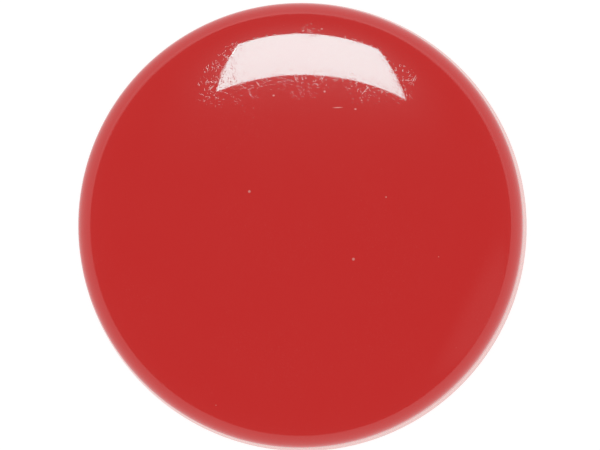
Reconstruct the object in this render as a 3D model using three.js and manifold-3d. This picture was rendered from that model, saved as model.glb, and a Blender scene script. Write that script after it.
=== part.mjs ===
// Tabletop answer buzzer: a round push cap on a low round base that holds a switch,
// a sound board, a speaker and two small cells. Millimetres, +Z up, origin on the
// surface it stands on, below the centre of the cap.
import * as THREE from 'three';
import { mergeVertices } from 'three/addons/utils/BufferGeometryUtils.js';
import Module from 'manifold-3d';

const wasm = await Module();
wasm.setup();

// Push cap
const capRadius = 44.5;
const capWall = 2.2;
const domeRise = 14.6;
const skirtDrop = 6;
const capTravel = 3;
const postRadius = 3.2;
const seatWall = 1.2; // round the pin that a return spring sits on
const ribWidth = 1.4;

// Base
const baseOverhang = 0.3; // the base stands out past the cap by this, at its shoulder
const baseDraft = 1.2; // and by this much more at its foot
const baseWall = 3;
const shoulderRound = 1.3;
const deckThickness = 2;
const collarGap = 1.1;
const collarWall = 1.5;
const collarHeight = 5;
const coverThickness = 2;
const coverStepWidth = 1;

// Rubber feet
const footRadius = 3.8;
const footHeight = 2.1;
const footStand = 1.5;

// Cells and their tray
const cellDiameter = 10.3;
const cellLength = 44.5;
const nubRadius = 1.9;
const nubLength = 1;
const cellGap = 0.4;
const contactSpringLength = 3.8;
const contactThickness = 0.5;
const contactWidth = 8;
const trayWall = 1.8;

// Cell door
const doorThickness = 1.6;
const doorLap = 0.9;
const doorGap = 0.25;
const earRadius = 3.6;
const gripPitch = 2.4;
const gripLength = 16;
const gripDepth = 0.4;

// Speaker
const speakerRadius = 11.5;
const speakerHeight = 8;
const magnetRadius = 7;
const gasketThickness = 0.7;
const ringWall = 1.3;
const speakerGap = 1; // between the tray and the ring round the speaker
const layoutCentre = 11.6; // middle of the tray and speaker together, towards +Y
const grillePitch = 3.2;
const grilleSlot = 1.5;

// Board and switch
const boardWidth = 36;
const boardMargin = 3.4; // from the screws to the board's edge
const boardThickness = 1.6;
const boardGap = 0.7;
const switchSize = 6;
const switchHeight = 3.5;
const plungerRadius = 1.75;
const plungerProud = 1.6;
const plungerTravel = 0.3;

// Return springs, guide legs and screws
const springMeanRadius = 3.4;
const springWire = 0.45;
const springLength = 12;
const springTurns = 5.5;
const springCircle = 24;
const pinRadius = 2.4;
const legCircle = 36.5;
const legThickness = 2;
const legWidth = 8;
const hookReach = 1.5;
const hookHeight = 2;
const caseScrewRadius = 1.4;
const boardScrewRadius = 1;
const boardScrewHead = 2;
const wireRadius = 0.6;

// Clearances
const fit = 0.3; // between pieces that rest on each other
const slide = 0.5; // round pieces that pass each other
const drill = 0.2; // radial, round a screw

// Places worked out from the sizes above
const round = 64;
const undersideZ = footStand;
const coverTopZ = undersideZ + coverThickness;
const cellRadius = cellDiameter / 2;
const cellZ = undersideZ + doorThickness + slide + cellRadius;
const trayCeilingZ = cellZ + cellRadius + cellGap;
const trayTopZ = trayCeilingZ + trayWall;
const boardZ = trayTopZ + boardGap;
const boardTopZ = boardZ + boardThickness;
const deckUnderZ = trayTopZ + hookHeight + capTravel + fit + slide;
const deckZ = deckUnderZ + deckThickness;
const capEdgeZ = deckZ + capTravel + slide;
const domeZ = capEdgeZ + skirtDrop;
const capInner = capRadius - capWall;
const baseRadius = capRadius + baseOverhang;
const baseFootRadius = baseRadius + baseDraft;
const baseInner = baseRadius - baseWall;
const collarOuter = capInner - collarGap;
const coverSeatRadius = baseInner + coverStepWidth;
const coverRadius = coverSeatRadius - fit;
const switchHoleRadius = switchSize + 0.2;
const switchZ = boardTopZ + 0.1;
const switchTopZ = switchZ + switchHeight;
const plungerTopZ = switchTopZ + plungerProud;
const springZ = deckZ + fit;
const springTopZ = springZ + springLength;
const screwCircle = coverRadius - 5.6;
const footCircle = coverRadius - footRadius - 1.2;
const pillarRadius = 3.9;
const bossRadius = 3.4;
const boardBossRadius = 2.4;
const pillarTopZ = coverTopZ + 4.5;
const screwHeadRadius = 2.6;
const screwHeadHeight = 1.8;
const screwSeatZ = undersideZ + screwHeadHeight + 1.7;
const trayHalfWidth = cellDiameter + 1.5 * cellGap;
const endSpace = fit + contactThickness + drill;
const trayHalfLength = (cellLength + contactSpringLength + 2 * endSpace + drill) / 2;
const speakerRingRadius = speakerRadius + fit;
const trayReach = trayHalfWidth + trayWall;
const ringReach = speakerRingRadius + ringWall;
const layoutHalf = trayReach + speakerGap / 2 + ringReach;
const trayOffset = layoutCentre - layoutHalf + trayReach;
const speakerY = layoutCentre + layoutHalf - ringReach;
const boardScrewY = trayReach - trayOffset + boardScrewHead + 3 * fit;
const boardDepth = 2 * (boardScrewY + boardMargin);
const speakerZ = coverTopZ + fit + gasketThickness;
const earX = trayHalfLength + trayWall + pinRadius + 0.8;

const thirds = (first) => [0, 1, 2].map((i) => THREE.MathUtils.degToRad(first + 120 * i));
const springAngles = thirds(30);
const screwAngles = thirds(30);
const legAngles = thirds(90);
const footAngles = [45, 135, 225, 315].map((a) => THREE.MathUtils.degToRad(a));

// Solids
function toSolid(geometry) {
  const bare = geometry.clone();
  bare.deleteAttribute('normal');
  bare.deleteAttribute('uv');
  const loose = bare.attributes.position.array;
  loose.forEach((value, i) => { loose[i] = Math.round(value * 1e4) / 1e4; });
  const merged = mergeVertices(bare, 1e-5);
  const at = merged.attributes.position;
  const faces = [];
  let volume = 0;
  const [p, q, r] = [new THREE.Vector3(), new THREE.Vector3(), new THREE.Vector3()];
  for (let i = 0; i < merged.index.count; i += 3) {
    const face = [0, 1, 2].map((k) => merged.index.getX(i + k));
    if (new Set(face).size < 3) continue;
    faces.push(face);
    p.fromBufferAttribute(at, face[0]);
    q.fromBufferAttribute(at, face[1]);
    r.fromBufferAttribute(at, face[2]);
    volume += p.dot(q.cross(r));
  }
  const outward = volume > 0 ? faces : faces.map(([a, b, c]) => [a, c, b]);
  return new wasm.Manifold(new wasm.Mesh({
    numProp: 3,
    vertProperties: new Float32Array(at.array),
    triVerts: new Uint32Array(outward.flat()),
  }));
}

function toGeometry(solid) {
  const { vertProperties, triVerts } = solid.getMesh();
  const geometry = new THREE.BufferGeometry();
  geometry.setAttribute('position', new THREE.BufferAttribute(vertProperties, 3));
  geometry.setIndex(new THREE.BufferAttribute(triVerts, 1));
  return geometry;
}

const join = (...solids) => solids.flat().reduce((whole, one) => whole.add(one));
const cut = (whole, ...tools) => tools.flat().reduce((left, tool) => left.subtract(tool), whole);
const polar = (radius, angle) => [radius * Math.cos(angle), radius * Math.sin(angle)];

function lathe(profile, sides = round) {
  const points = profile.map(([r, z]) => new THREE.Vector2(r, z));
  return toSolid(new THREE.LatheGeometry(points, sides).rotateX(Math.PI / 2));
}

function arc(centreR, centreZ, radiusR, radiusZ, from, to, steps) {
  return Array.from({ length: steps + 1 }, (_, i) => {
    const t = THREE.MathUtils.degToRad(from + ((to - from) * i) / steps);
    return [centreR + radiusR * Math.cos(t), centreZ + radiusZ * Math.sin(t)];
  });
}

function rod(radius, z0, z1, [x, y] = [0, 0], sides = 16) {
  const geometry = new THREE.CylinderGeometry(radius, radius, z1 - z0, sides);
  return toSolid(geometry.rotateX(Math.PI / 2).translate(x, y, (z0 + z1) / 2));
}

function ring(outer, inner, z0, z1, sides = round) {
  return lathe([[inner, z0], [outer, z0], [outer, z1], [inner, z1], [inner, z0]], sides);
}

function block(x0, x1, y0, y1, z0, z1) {
  const geometry = new THREE.BoxGeometry(x1 - x0, y1 - y0, z1 - z0);
  return toSolid(geometry.translate((x0 + x1) / 2, (y0 + y1) / 2, (z0 + z1) / 2));
}

// A block whose length runs out along a radius at the given angle.
function spoke(angle, r0, r1, width, z0, z1) {
  const geometry = new THREE.BoxGeometry(r1 - r0, width, z1 - z0);
  return toSolid(geometry.translate((r0 + r1) / 2, 0, (z0 + z1) / 2).rotateZ(angle));
}

// An outline in radius and height, made as wide as given and turned to the given angle.
function wedge(angle, outline, width) {
  const shape = new THREE.Shape(outline.map(([r, z]) => new THREE.Vector2(r, z)));
  const geometry = new THREE.ExtrudeGeometry(shape, { depth: width, bevelEnabled: false });
  return toSolid(geometry.rotateX(Math.PI / 2).translate(0, width / 2, 0).rotateZ(angle));
}

function tubeAlong(curve, radius, sides, steps) {
  const section = Array.from({ length: sides }, (_, i) => {
    const t = (2 * Math.PI * i) / sides;
    return new THREE.Vector2(radius * Math.cos(t), radius * Math.sin(t));
  });
  const options = { extrudePath: curve, steps, bevelEnabled: false };
  return toSolid(new THREE.ExtrudeGeometry(new THREE.Shape(section), options));
}

class Coil extends THREE.Curve {
  constructor(startRadius, endRadius, length, turns) {
    super();
    Object.assign(this, { startRadius, endRadius, length, turns });
  }

  getPoint(t, target = new THREE.Vector3()) {
    const angle = 2 * Math.PI * this.turns * t;
    const r = THREE.MathUtils.lerp(this.startRadius, this.endRadius, t);
    const closed = 0.75 / this.turns; // the end turns lie flat
    const rise = THREE.MathUtils.clamp((t - closed) / (1 - 2 * closed), 0, 1);
    return target.set(r * Math.cos(angle), r * Math.sin(angle), rise * this.length);
  }
}

const plastic = (color, roughness) => ({ color, roughness, metalness: 0 });
const metal = (color, roughness) => ({ color, roughness, metalness: 1 });
const finishes = {
  redPlastic: plastic('#bf2f2c', 0.12),
  darkPlastic: plastic('#26272a', 0.5),
  whitePlastic: plastic('#e9e6df', 0.45),
  rubber: plastic('#1b1b1c', 0.85),
  steel: metal('#b9bcc0', 0.35),
  nickel: metal('#c9c6bd', 0.3),
  board: plastic('#1f6b3a', 0.45),
  epoxy: plastic('#101011', 0.4),
  paper: plastic('#3a3634', 0.9),
  foam: plastic('#2a2a2c', 0.95),
  magnet: metal('#7d7f83', 0.45),
  sleeve: plastic('#2f5f8f', 0.35),
  ceramic: plastic('#c9a36a', 0.5),
  redWire: plastic('#c42a20', 0.5),
  blackWire: plastic('#151515', 0.5),
};

const buzzer = new THREE.Group();

function piece(name, solid, finish, place = [0, 0, 0], turn = 0) {
  const material = new THREE.MeshStandardMaterial(finishes[finish]);
  const mesh = new THREE.Mesh(toGeometry(solid), material);
  mesh.name = name;
  mesh.position.set(...place);
  mesh.rotation.z = turn;
  buzzer.add(mesh);
}

// Push cap: a low dome on a straight skirt, with everything that hangs from its inside
function pushCap() {
  const edge = 0.4;
  const shell = lathe([
    ...arc(0, domeZ, capRadius, domeRise, 90, 0, 12),
    [capRadius, capEdgeZ + edge],
    [capRadius - edge, capEdgeZ],
    [capInner, capEdgeZ],
    ...arc(0, domeZ, capInner, domeRise - capWall, 0, 90, 8),
  ]);
  const half = capWall / 2;
  const fill = lathe([
    ...arc(0, domeZ, capRadius - half, domeRise - half, 90, 0, 12),
    [capRadius - half, 0],
    [0, 0],
  ]);
  const topZ = domeZ + domeRise;
  const tipZ = plungerTopZ + capTravel - plungerTravel + 0.1;
  const post = rod(postRadius, tipZ, topZ, [0, 0], 20);
  const legEndZ = deckUnderZ - fit - hookHeight;
  const legInner = legCircle - legThickness / 2;
  const legOuter = legCircle + legThickness / 2;
  const hookZ = legEndZ + hookHeight;
  const legOutline = [
    [legInner, legEndZ],
    [legOuter, legEndZ],
    [legOuter + hookReach, hookZ - 0.6],
    [legOuter + hookReach, hookZ],
    [legOuter, hookZ],
    [legOuter, topZ],
    [legInner, topZ],
  ];
  const legs = legAngles.map((a) => wedge(a, legOutline, legWidth));
  const seats = springAngles.map((a) => {
    const at = polar(springCircle, a);
    const boss = rod(springMeanRadius + seatWall, springTopZ + fit, topZ, at);
    const pin = rod(pinRadius, springTopZ - springLength / 3, topZ, at, 12);
    return boss.add(pin);
  });
  const ribs = springAngles.map((a) => spoke(a, 2, springCircle, ribWidth, domeZ + domeRise / 2, topZ));
  return shell.add(join(post, legs, seats, ribs).intersect(fill));
}

// Upper housing: side wall, deck, the collar inside the cap's skirt, bosses below the deck
function baseShell() {
  const shell = lathe([
    [coverSeatRadius, undersideZ],
    [baseFootRadius - 0.5, undersideZ],
    [baseFootRadius, undersideZ + 0.5],
    ...arc(baseRadius - shoulderRound, deckZ - shoulderRound, shoulderRound, shoulderRound, 0, 90, 4),
    [collarOuter, deckZ],
    [collarOuter, deckZ + collarHeight],
    [collarOuter - collarWall, deckZ + collarHeight],
    [collarOuter - collarWall, deckZ],
    [switchHoleRadius, deckZ],
    [switchHoleRadius, deckUnderZ],
    [baseInner, deckUnderZ],
    [baseInner, coverTopZ + fit],
    [coverSeatRadius, coverTopZ + fit],
    [coverSeatRadius, undersideZ],
  ]);
  const bosses = screwAngles.map((a) => {
    const boss = rod(bossRadius, pillarTopZ + fit, deckUnderZ + 1, polar(screwCircle, a));
    return boss.add(spoke(a, screwCircle + 2, baseInner + 1, ribWidth, pillarTopZ + 2, deckUnderZ + 1));
  });
  const pins = springAngles.map((a) => {
    return rod(pinRadius, deckZ - 1, deckZ + springLength / 4, polar(springCircle, a), 12);
  });
  const boardBosses = boardCorners().map((at) => {
    return rod(boardBossRadius, boardTopZ + drill, deckUnderZ + 1, at, 12);
  });
  const slots = legAngles.map((a) => {
    const inner = legCircle - legThickness / 2 - hookReach;
    const outer = legCircle + legThickness / 2 + slide;
    return spoke(a, inner, outer, legWidth + 2 * slide, deckUnderZ - 1, deckZ + 1);
  });
  const caseHoles = screwAngles.map((a) => {
    const at = polar(screwCircle, a);
    return rod(caseScrewRadius + drill, pillarTopZ - 1, caseScrewEnd() + 1, at, 12);
  });
  const boardHoles = boardScrewPlaces().map((at) => {
    return rod(boardScrewRadius + drill, boardZ, boardScrewEnd() + 0.4, at, 12);
  });
  return cut(join(shell, bosses, pins, boardBosses), slots, caseHoles, boardHoles);
}

function boardCorners() {
  const x = boardWidth / 2 - boardMargin;
  const y = boardScrewY;
  return [[x, -y], [-x, y], [-x, -y], [x, y]];
}

const boardScrewPlaces = () => boardCorners().slice(0, 2);
const boardScrewEnd = () => deckUnderZ + deckThickness / 2 - 0.5;
const caseScrewEnd = () => pillarTopZ + 7;

function doorOutline(lap, z0, z1) {
  const x = trayHalfLength + lap;
  const y = trayHalfWidth + lap;
  const ear = earRadius + lap - doorLap;
  const tabs = [-1, 1].map((side) => rod(ear, z0, z1, [side * earX, trayOffset], 24));
  const neck = block(-earX, earX, trayOffset - ear, trayOffset + ear, z0, z1);
  return join(block(-x, x, trayOffset - y, trayOffset + y, z0, z1), tabs, neck);
}

// Lower housing: floor plate, cell tray, speaker ring and grille, screw pillars
function bottomCover() {
  const plate = rod(coverRadius, undersideZ, coverTopZ, [0, 0], round);
  const x = trayHalfLength + trayWall;
  const y = trayHalfWidth + trayWall;
  const tray = block(-x, x, trayOffset - y, trayOffset + y, undersideZ, trayTopZ);
  const rim = ring(speakerRingRadius + ringWall, speakerRingRadius, undersideZ, speakerZ + 3, 32)
    .translate([0, speakerY, 0]);
  const pillars = screwAngles.map((a) => {
    return rod(pillarRadius, undersideZ, pillarTopZ, polar(screwCircle, a), 20);
  });
  const doorPillars = [-1, 1].map((side) => {
    return rod(pinRadius + 0.6, undersideZ, cellZ + 2, [side * earX, trayOffset], 16);
  });
  const cavity = block(
    -trayHalfLength, trayHalfLength,
    trayOffset - trayHalfWidth, trayOffset + trayHalfWidth,
    undersideZ - 1, trayCeilingZ,
  );
  const rebate = doorOutline(doorLap + doorGap, undersideZ - 1, undersideZ + doorThickness + fit);
  const grille = [-2, -1, 0, 1, 2].map((i) => {
    const across = i * grillePitch;
    const half = Math.sqrt((speakerRadius - 2) ** 2 - across ** 2);
    return block(
      -half, half,
      speakerY + across - grilleSlot / 2, speakerY + across + grilleSlot / 2,
      undersideZ - 1, coverTopZ + 1,
    );
  });
  const footPockets = footAngles.map((a) => {
    const top = footHeight + drill;
    return rod(footRadius + drill, undersideZ - 1, top, polar(footCircle, a), 20);
  });
  const heads = screwAngles.map((a) => {
    const at = polar(screwCircle, a);
    const sink = rod(screwHeadRadius + slide, undersideZ - 1, screwSeatZ, at, 16);
    return sink.add(rod(caseScrewRadius + drill, undersideZ, pillarTopZ + 1, at, 12));
  });
  const doorHoles = [-1, 1].map((side) => {
    return rod(boardScrewRadius + drill, undersideZ, cellZ + 0.5, [side * earX, trayOffset], 12);
  });
  const tabSlots = [0.5, -0.5].map((row) => {
    const tabY = trayOffset + row * (cellDiameter + cellGap);
    return block(
      -x - 1, -trayHalfLength + 1,
      tabY - tabHalf - fit, tabY + tabHalf + fit,
      cellZ - tabHalf - fit, cellZ + tabHalf + fit,
    );
  });
  const body = join(plate, tray, rim, pillars, doorPillars);
  return cut(body, cavity, rebate, grille, footPockets, heads, doorHoles, tabSlots);
}

const tabHalf = 1.5;

function batteryDoor() {
  const plate = doorOutline(doorLap, undersideZ, undersideZ + doorThickness);
  const holes = [-1, 1].map((side) => {
    const at = [side * earX, trayOffset];
    return rod(boardScrewRadius + drill, undersideZ - 1, coverTopZ, at, 12);
  });
  const sinks = [-1, 1].map((side) => {
    return rod(boardScrewHead + fit, undersideZ - 1, undersideZ + 0.9, [side * earX, trayOffset], 16);
  });
  const grip = [-1, 0, 1].map((i) => {
    const y = trayOffset + i * gripPitch;
    return block(-gripLength / 2, gripLength / 2, y - 0.5, y + 0.5, undersideZ - 1, undersideZ + gripDepth);
  });
  return cut(plate, holes, sinks, grip);
}

// A pan-head screw seen from below: the head is at the bottom and the shank points up.
function screw(headRadius, headHeight, shankRadius, length) {
  const tip = shankRadius * 0.8;
  const body = lathe([
    [0, -headHeight],
    [headRadius * 0.7, -headHeight],
    [headRadius, -headHeight * 0.5],
    [headRadius, 0],
    [shankRadius, 0],
    [shankRadius, length - tip],
    [0.2, length],
    [0, length],
  ], 12);
  const arm = headRadius * 0.55;
  const half = headRadius * 0.13;
  const deep = -headHeight * 0.45;
  const cross = join(
    block(-arm, arm, -half, half, -headHeight - 1, deep),
    block(-half, half, -arm, arm, -headHeight - 1, deep),
  );
  return body.subtract(cross);
}

function foot() {
  const edge = 0.6;
  return lathe([
    [0, 0],
    [footRadius - edge, 0],
    ...arc(footRadius - edge, edge, edge, edge, -60, 0, 2),
    [footRadius, footHeight],
    [0, footHeight],
  ], 20);
}

function returnSpring() {
  const coil = new Coil(springMeanRadius, springMeanRadius, springLength - 2 * springWire, springTurns);
  return tubeAlong(coil, springWire, 6, Math.round(springTurns * 12)).translate([0, 0, springWire]);
}

function cell() {
  const can = cellRadius;
  return lathe([
    [0, 0],
    [can - 0.6, 0],
    [can, 0.6],
    [can, cellLength - nubLength - 0.6],
    [can - 0.6, cellLength - nubLength],
    [nubRadius, cellLength - nubLength],
    [nubRadius, cellLength],
    [0, cellLength],
  ], 24);
}

// Flat spring-steel contact against the tray's end wall, with a solder tab through it
function tabContact() {
  const half = contactWidth / 2;
  const plate = block(0, contactThickness, -half, half, -half, half);
  const tabLength = trayWall + fit + 1.6;
  const neck = tabHalf - 0.2;
  return plate.add(block(-tabLength, contactThickness, -neck, neck, -0.3, 0.3));
}

function bridgeContact() {
  const half = contactWidth / 2;
  const reach = (cellDiameter + cellGap) / 2 + half;
  const plate = block(0, contactThickness, -reach, reach, -half, half);
  const notch = block(-1, 1, -1.2, 1.2, half - 2.5, half + 1);
  return plate.subtract(notch);
}

function contactSpring() {
  const wire = 0.35;
  const coil = new Coil(3.3, 1.9, contactSpringLength - 2 * wire, 3.5);
  return tubeAlong(coil, wire, 6, 42).translate([0, 0, wire]);
}

function circuitBoard() {
  const [x, y] = [boardWidth / 2, boardDepth / 2];
  const board = block(-x, x, -y, y, boardZ, boardTopZ);
  const screwHoles = boardScrewPlaces().map((at) => {
    return rod(boardScrewRadius + drill, boardZ - 1, boardTopZ + 1, at, 12);
  });
  const legHoles = switchLegs().map((at) => rod(0.6, boardZ - 1, boardTopZ + 1, at, 8));
  return cut(board, screwHoles, legHoles);
}

function switchLegs() {
  const x = switchSize / 2 - 0.5;
  return [[x, x - 0.4], [-x, x - 0.4], [x, 0.4 - x], [-x, 0.4 - x]];
}

function switchBody() {
  const half = switchSize / 2;
  const body = block(-half, half, -half, half, switchZ, switchTopZ);
  const legs = switchLegs().map(([x, y]) => {
    return block(x - 0.25, x + 0.25, y - 0.25, y + 0.25, boardZ + 0.2, switchZ + 1);
  });
  const bore = rod(plungerRadius + drill, switchTopZ - 1.6, switchTopZ + 1, [0, 0], 16);
  return join(body, legs).subtract(bore);
}

function speakerFrame() {
  const flange = 1;
  const basketZ = speakerHeight * 0.55;
  const sheet = 0.7;
  const back = magnetRadius + 0.6;
  return lathe([
    [speakerRadius - 1.8, 0],
    [speakerRadius, 0],
    [speakerRadius, flange],
    [speakerRadius - 1, flange + 0.4],
    [back, basketZ],
    [2.6, basketZ],
    [2.6, basketZ - sheet],
    [back - 0.6, basketZ - sheet],
    [speakerRadius - 1.8, flange],
    [speakerRadius - 1.8, 0],
  ], 32);
}

function speakerCone() {
  const rim = speakerRadius - 2.1;
  const paper = 0.5;
  return lathe([
    [0, 0.7],
    ...arc(0, 1.7, 3.4, 1, -60, 0, 3),
    [rim - 0.9, 0.2],
    [rim, 0.2],
    [rim, 0.2 + paper],
    [rim - 0.7, 0.2 + paper],
    [3.6, 1.7 + 1.1],
    [0, 1.7 + 0.6],
  ], 24);
}

function wire(points) {
  const curve = new THREE.CatmullRomCurve3(points.map((p) => new THREE.Vector3(...p)));
  const steps = Math.round(curve.getLength() / (3 * wireRadius));
  return tubeAlong(curve, wireRadius, 8, steps);
}

// Assembly
piece('button_cap', pushCap(), 'redPlastic');
springAngles.forEach((a, i) => {
  piece(`return_spring_${i + 1}`, returnSpring(), 'steel', [...polar(springCircle, a), springZ], a);
});
piece('base_shell', baseShell(), 'redPlastic');
piece('bottom_cover', bottomCover(), 'darkPlastic');
footAngles.forEach((a, i) => {
  piece(`foot_${i + 1}`, foot(), 'rubber', [...polar(footCircle, a), 0]);
});
screwAngles.forEach((a, i) => {
  const at = [...polar(screwCircle, a), screwSeatZ - drill];
  const length = caseScrewEnd() - screwSeatZ;
  piece(`case_screw_${i + 1}`, screw(screwHeadRadius, screwHeadHeight, caseScrewRadius, length), 'steel', at);
});
piece('battery_door', batteryDoor(), 'darkPlastic');
[-1, 1].forEach((side, i) => {
  const doorScrew = screw(boardScrewHead, 0.8, boardScrewRadius, cellZ - undersideZ - 1);
  piece(`door_screw_${i + 1}`, doorScrew, 'steel', [side * earX, trayOffset, undersideZ + 0.85]);
});

// Cells lie side by side, head to tail
const rowStep = (cellDiameter + cellGap) / 2;
const contactX = trayHalfLength - fit;
[1, -1].forEach((side, i) => {
  const rowY = trayOffset + side * rowStep;
  const tip = contactX - contactThickness - drill;
  const lying = cell().rotate([0, -90 * side, 0]).translate([side * (cellLength - tip), rowY, cellZ]);
  piece(`battery_${i + 1}`, lying, 'sleeve');
  const spring = contactSpring().rotate([0, -90 * side, 0]);
  const springX = contactX - contactThickness - drill;
  piece(`battery_spring_${i + 1}`, spring.translate([side * springX, rowY, cellZ]), 'nickel');
});
const tabNames = ['battery_contact_positive', 'battery_contact_negative'];
tabNames.forEach((name, i) => {
  const rowY = trayOffset + (i === 0 ? rowStep : -rowStep);
  piece(name, tabContact(), 'nickel', [-contactX, rowY, cellZ]);
});
piece('battery_contact_bridge', bridgeContact(), 'nickel', [contactX - contactThickness, trayOffset, cellZ]);

// Board, with the push switch below the cap's centre post
piece('circuit_board', circuitBoard(), 'board');
boardScrewPlaces().forEach((at, i) => {
  const boardScrew = screw(boardScrewHead, 1.2, boardScrewRadius, boardScrewEnd() - boardZ);
  piece(`board_screw_${i + 1}`, boardScrew, 'steel', [...at, boardZ - drill]);
});
piece('switch_body', switchBody(), 'epoxy');
const plungerFootZ = switchTopZ - 1.6 + plungerTravel + drill;
piece('switch_plunger', rod(plungerRadius, plungerFootZ, plungerTopZ, [0, 0], 16), 'whitePlastic');
const chipRadius = 4.2;
const chipHeight = 1.5;
const blob = [[0, 0], ...arc(0, 0, chipRadius, chipHeight, 0, 90, 4)];
piece('sound_chip', lathe(blob, 20), 'epoxy', [-10, -8, boardTopZ + 0.1]);
const canHeight = 7;
const canPlace = [5, -boardDepth / 2 + 3.2, boardZ - canHeight - 0.1];
piece('capacitor', lathe([
  [0, 0], [2.1, 0], [2.5, 0.4], [2.5, canHeight - 1.2], [2.2, canHeight - 0.9],
  [2.5, canHeight - 0.6], [2.5, canHeight], [0, canHeight],
], 16), 'sleeve', canPlace);
const resistor = lathe([
  [0, -3.4], [0.7, -3.4], [1.15, -2.8], [0.9, -1.9], [0.9, 1.9], [1.15, 2.8], [0.7, 3.4], [0, 3.4],
], 12).rotate([0, 90, 0]);
piece('resistor', resistor, 'ceramic', [10, 9, boardTopZ + 1.3]);
const transistor = rod(2.3, 0, 4.4, [0, 0], 16).subtract(block(-3, 3, -3, -1.2, -1, 6));
piece('transistor', transistor, 'epoxy', [-6, -boardDepth / 2 + 3.4, boardZ - 4.5]);

// Speaker, facing down through the grille
const speakerAt = (z) => [0, speakerY, z];
const gasket = ring(speakerRadius, speakerRadius - 2, 0, gasketThickness, 32);
piece('speaker_gasket', gasket, 'foam', speakerAt(coverTopZ + 0.15));
piece('speaker_frame', speakerFrame(), 'steel', speakerAt(speakerZ));
piece('speaker_cone', speakerCone(), 'paper', speakerAt(speakerZ));
const magnetZ = speakerHeight * 0.55 + drill;
piece('speaker_magnet', rod(magnetRadius, magnetZ, speakerHeight, [0, 0], 24), 'magnet', speakerAt(speakerZ));

// Leads, soldered at both ends
const tabEndX = -contactX - trayWall - fit - 1.6 - wireRadius - 0.2;
const batteryLead = (rowY, padY) => wire([
  [tabEndX, rowY, cellZ - 0.6],
  [tabEndX - 0.4, rowY, cellZ + 3],
  [tabEndX + 0.6, rowY, trayTopZ + 0.6],
  [tabEndX + 4, (2 * rowY + padY) / 3, boardTopZ + 1.2],
  [-boardWidth / 2 - 1, padY, boardTopZ + 1.5],
  [-boardWidth / 2 + 2.5, padY, boardTopZ + wireRadius + 0.2],
]);
piece('battery_lead_red', batteryLead(trayOffset + rowStep, 5), 'redWire');
piece('battery_lead_black', batteryLead(trayOffset - rowStep, 1.5), 'blackWire');
const leadX = magnetRadius + wireRadius + 2.2;
const leadEndZ = speakerZ + speakerHeight * 0.3 + wireRadius + 0.4;
const speakerLead = (side) => wire([
  [side * (leadX - 3), boardDepth / 2 - 2.4, boardZ - wireRadius - 0.2],
  [side * (leadX - 1.6), boardDepth / 2 - 1.4, boardZ - 2.4],
  [side * (leadX + 0.2), speakerY - 2, leadEndZ + 4.4],
  [side * (leadX + 0.4), speakerY - 0.6, leadEndZ + 2],
  [side * leadX, speakerY, leadEndZ],
]);
piece('speaker_lead_red', speakerLead(1), 'redWire');
piece('speaker_lead_black', speakerLead(-1), 'blackWire');

export default buzzer;
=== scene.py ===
import bpy
import bmesh
import math
from mathutils import Matrix, Vector


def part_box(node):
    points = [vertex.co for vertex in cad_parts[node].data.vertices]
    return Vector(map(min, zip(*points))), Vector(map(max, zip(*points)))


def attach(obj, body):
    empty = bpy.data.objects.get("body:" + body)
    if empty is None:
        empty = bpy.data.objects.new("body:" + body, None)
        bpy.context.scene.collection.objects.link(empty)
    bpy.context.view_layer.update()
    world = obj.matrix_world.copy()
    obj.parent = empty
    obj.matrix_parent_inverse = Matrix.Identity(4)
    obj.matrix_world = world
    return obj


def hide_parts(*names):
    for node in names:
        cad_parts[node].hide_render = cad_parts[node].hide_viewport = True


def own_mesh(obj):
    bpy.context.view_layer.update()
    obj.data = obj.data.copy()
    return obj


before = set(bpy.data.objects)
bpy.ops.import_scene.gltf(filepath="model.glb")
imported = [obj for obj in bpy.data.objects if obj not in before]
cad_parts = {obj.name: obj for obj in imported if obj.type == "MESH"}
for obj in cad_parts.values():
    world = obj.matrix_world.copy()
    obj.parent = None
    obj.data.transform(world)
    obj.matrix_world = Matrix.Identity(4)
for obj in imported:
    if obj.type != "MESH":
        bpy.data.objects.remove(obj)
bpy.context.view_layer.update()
mm = 0.001


# Building blocks for node trees

def addNode(tree, kind, inputs=None, **settings):
    made = tree.nodes.new(kind)
    for key, value in settings.items():
        setattr(made, key, value)
    for key, value in (inputs or {}).items():
        socket = made.inputs[key]
        if isinstance(value, bpy.types.NodeSocket):
            tree.links.new(value, socket)
        else:
            socket.default_value = value
    return made


def mathNode(tree, operation, first, second=0.0, third=0.0, clamp=False):
    values = {0: first, 1: second, 2: third}
    return addNode(tree, "ShaderNodeMath", values, operation=operation, use_clamp=clamp).outputs[0]


def noise(tree, vector, scale, detail):
    made = addNode(tree, "ShaderNodeTexNoise", {"Vector": vector, "Scale": scale, "Detail": detail})
    return made.outputs["Fac"]


def vectorLength(tree, vector):
    return addNode(tree, "ShaderNodeVectorMath", {0: vector}, operation="LENGTH").outputs["Value"]


def mapRange(tree, value, low, high, toLow=0.0, toHigh=1.0, smooth=False):
    kind = "SMOOTHSTEP" if smooth else "LINEAR"
    values = {"Value": value, "From Min": low, "From Max": high, "To Min": toLow, "To Max": toHigh}
    return addNode(tree, "ShaderNodeMapRange", values, interpolation_type=kind).outputs["Result"]


def mixColor(tree, factor, first, second, blend="MIX"):
    made = addNode(tree, "ShaderNodeMix", data_type="RGBA", blend_type=blend)
    for socket, value in ((made.inputs[0], factor), (made.inputs[6], first), (made.inputs[7], second)):
        if isinstance(value, bpy.types.NodeSocket):
            tree.links.new(value, socket)
        else:
            socket.default_value = value
    return made.outputs[2]


def objectPlace(tree, scale=(1, 1, 1), turn=(0, 0, 0), shift=(0, 0, 0)):
    coords = addNode(tree, "ShaderNodeTexCoord")
    values = {"Vector": coords.outputs["Object"], "Scale": scale, "Rotation": turn, "Location": shift}
    return addNode(tree, "ShaderNodeMapping", values).outputs["Vector"]


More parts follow.
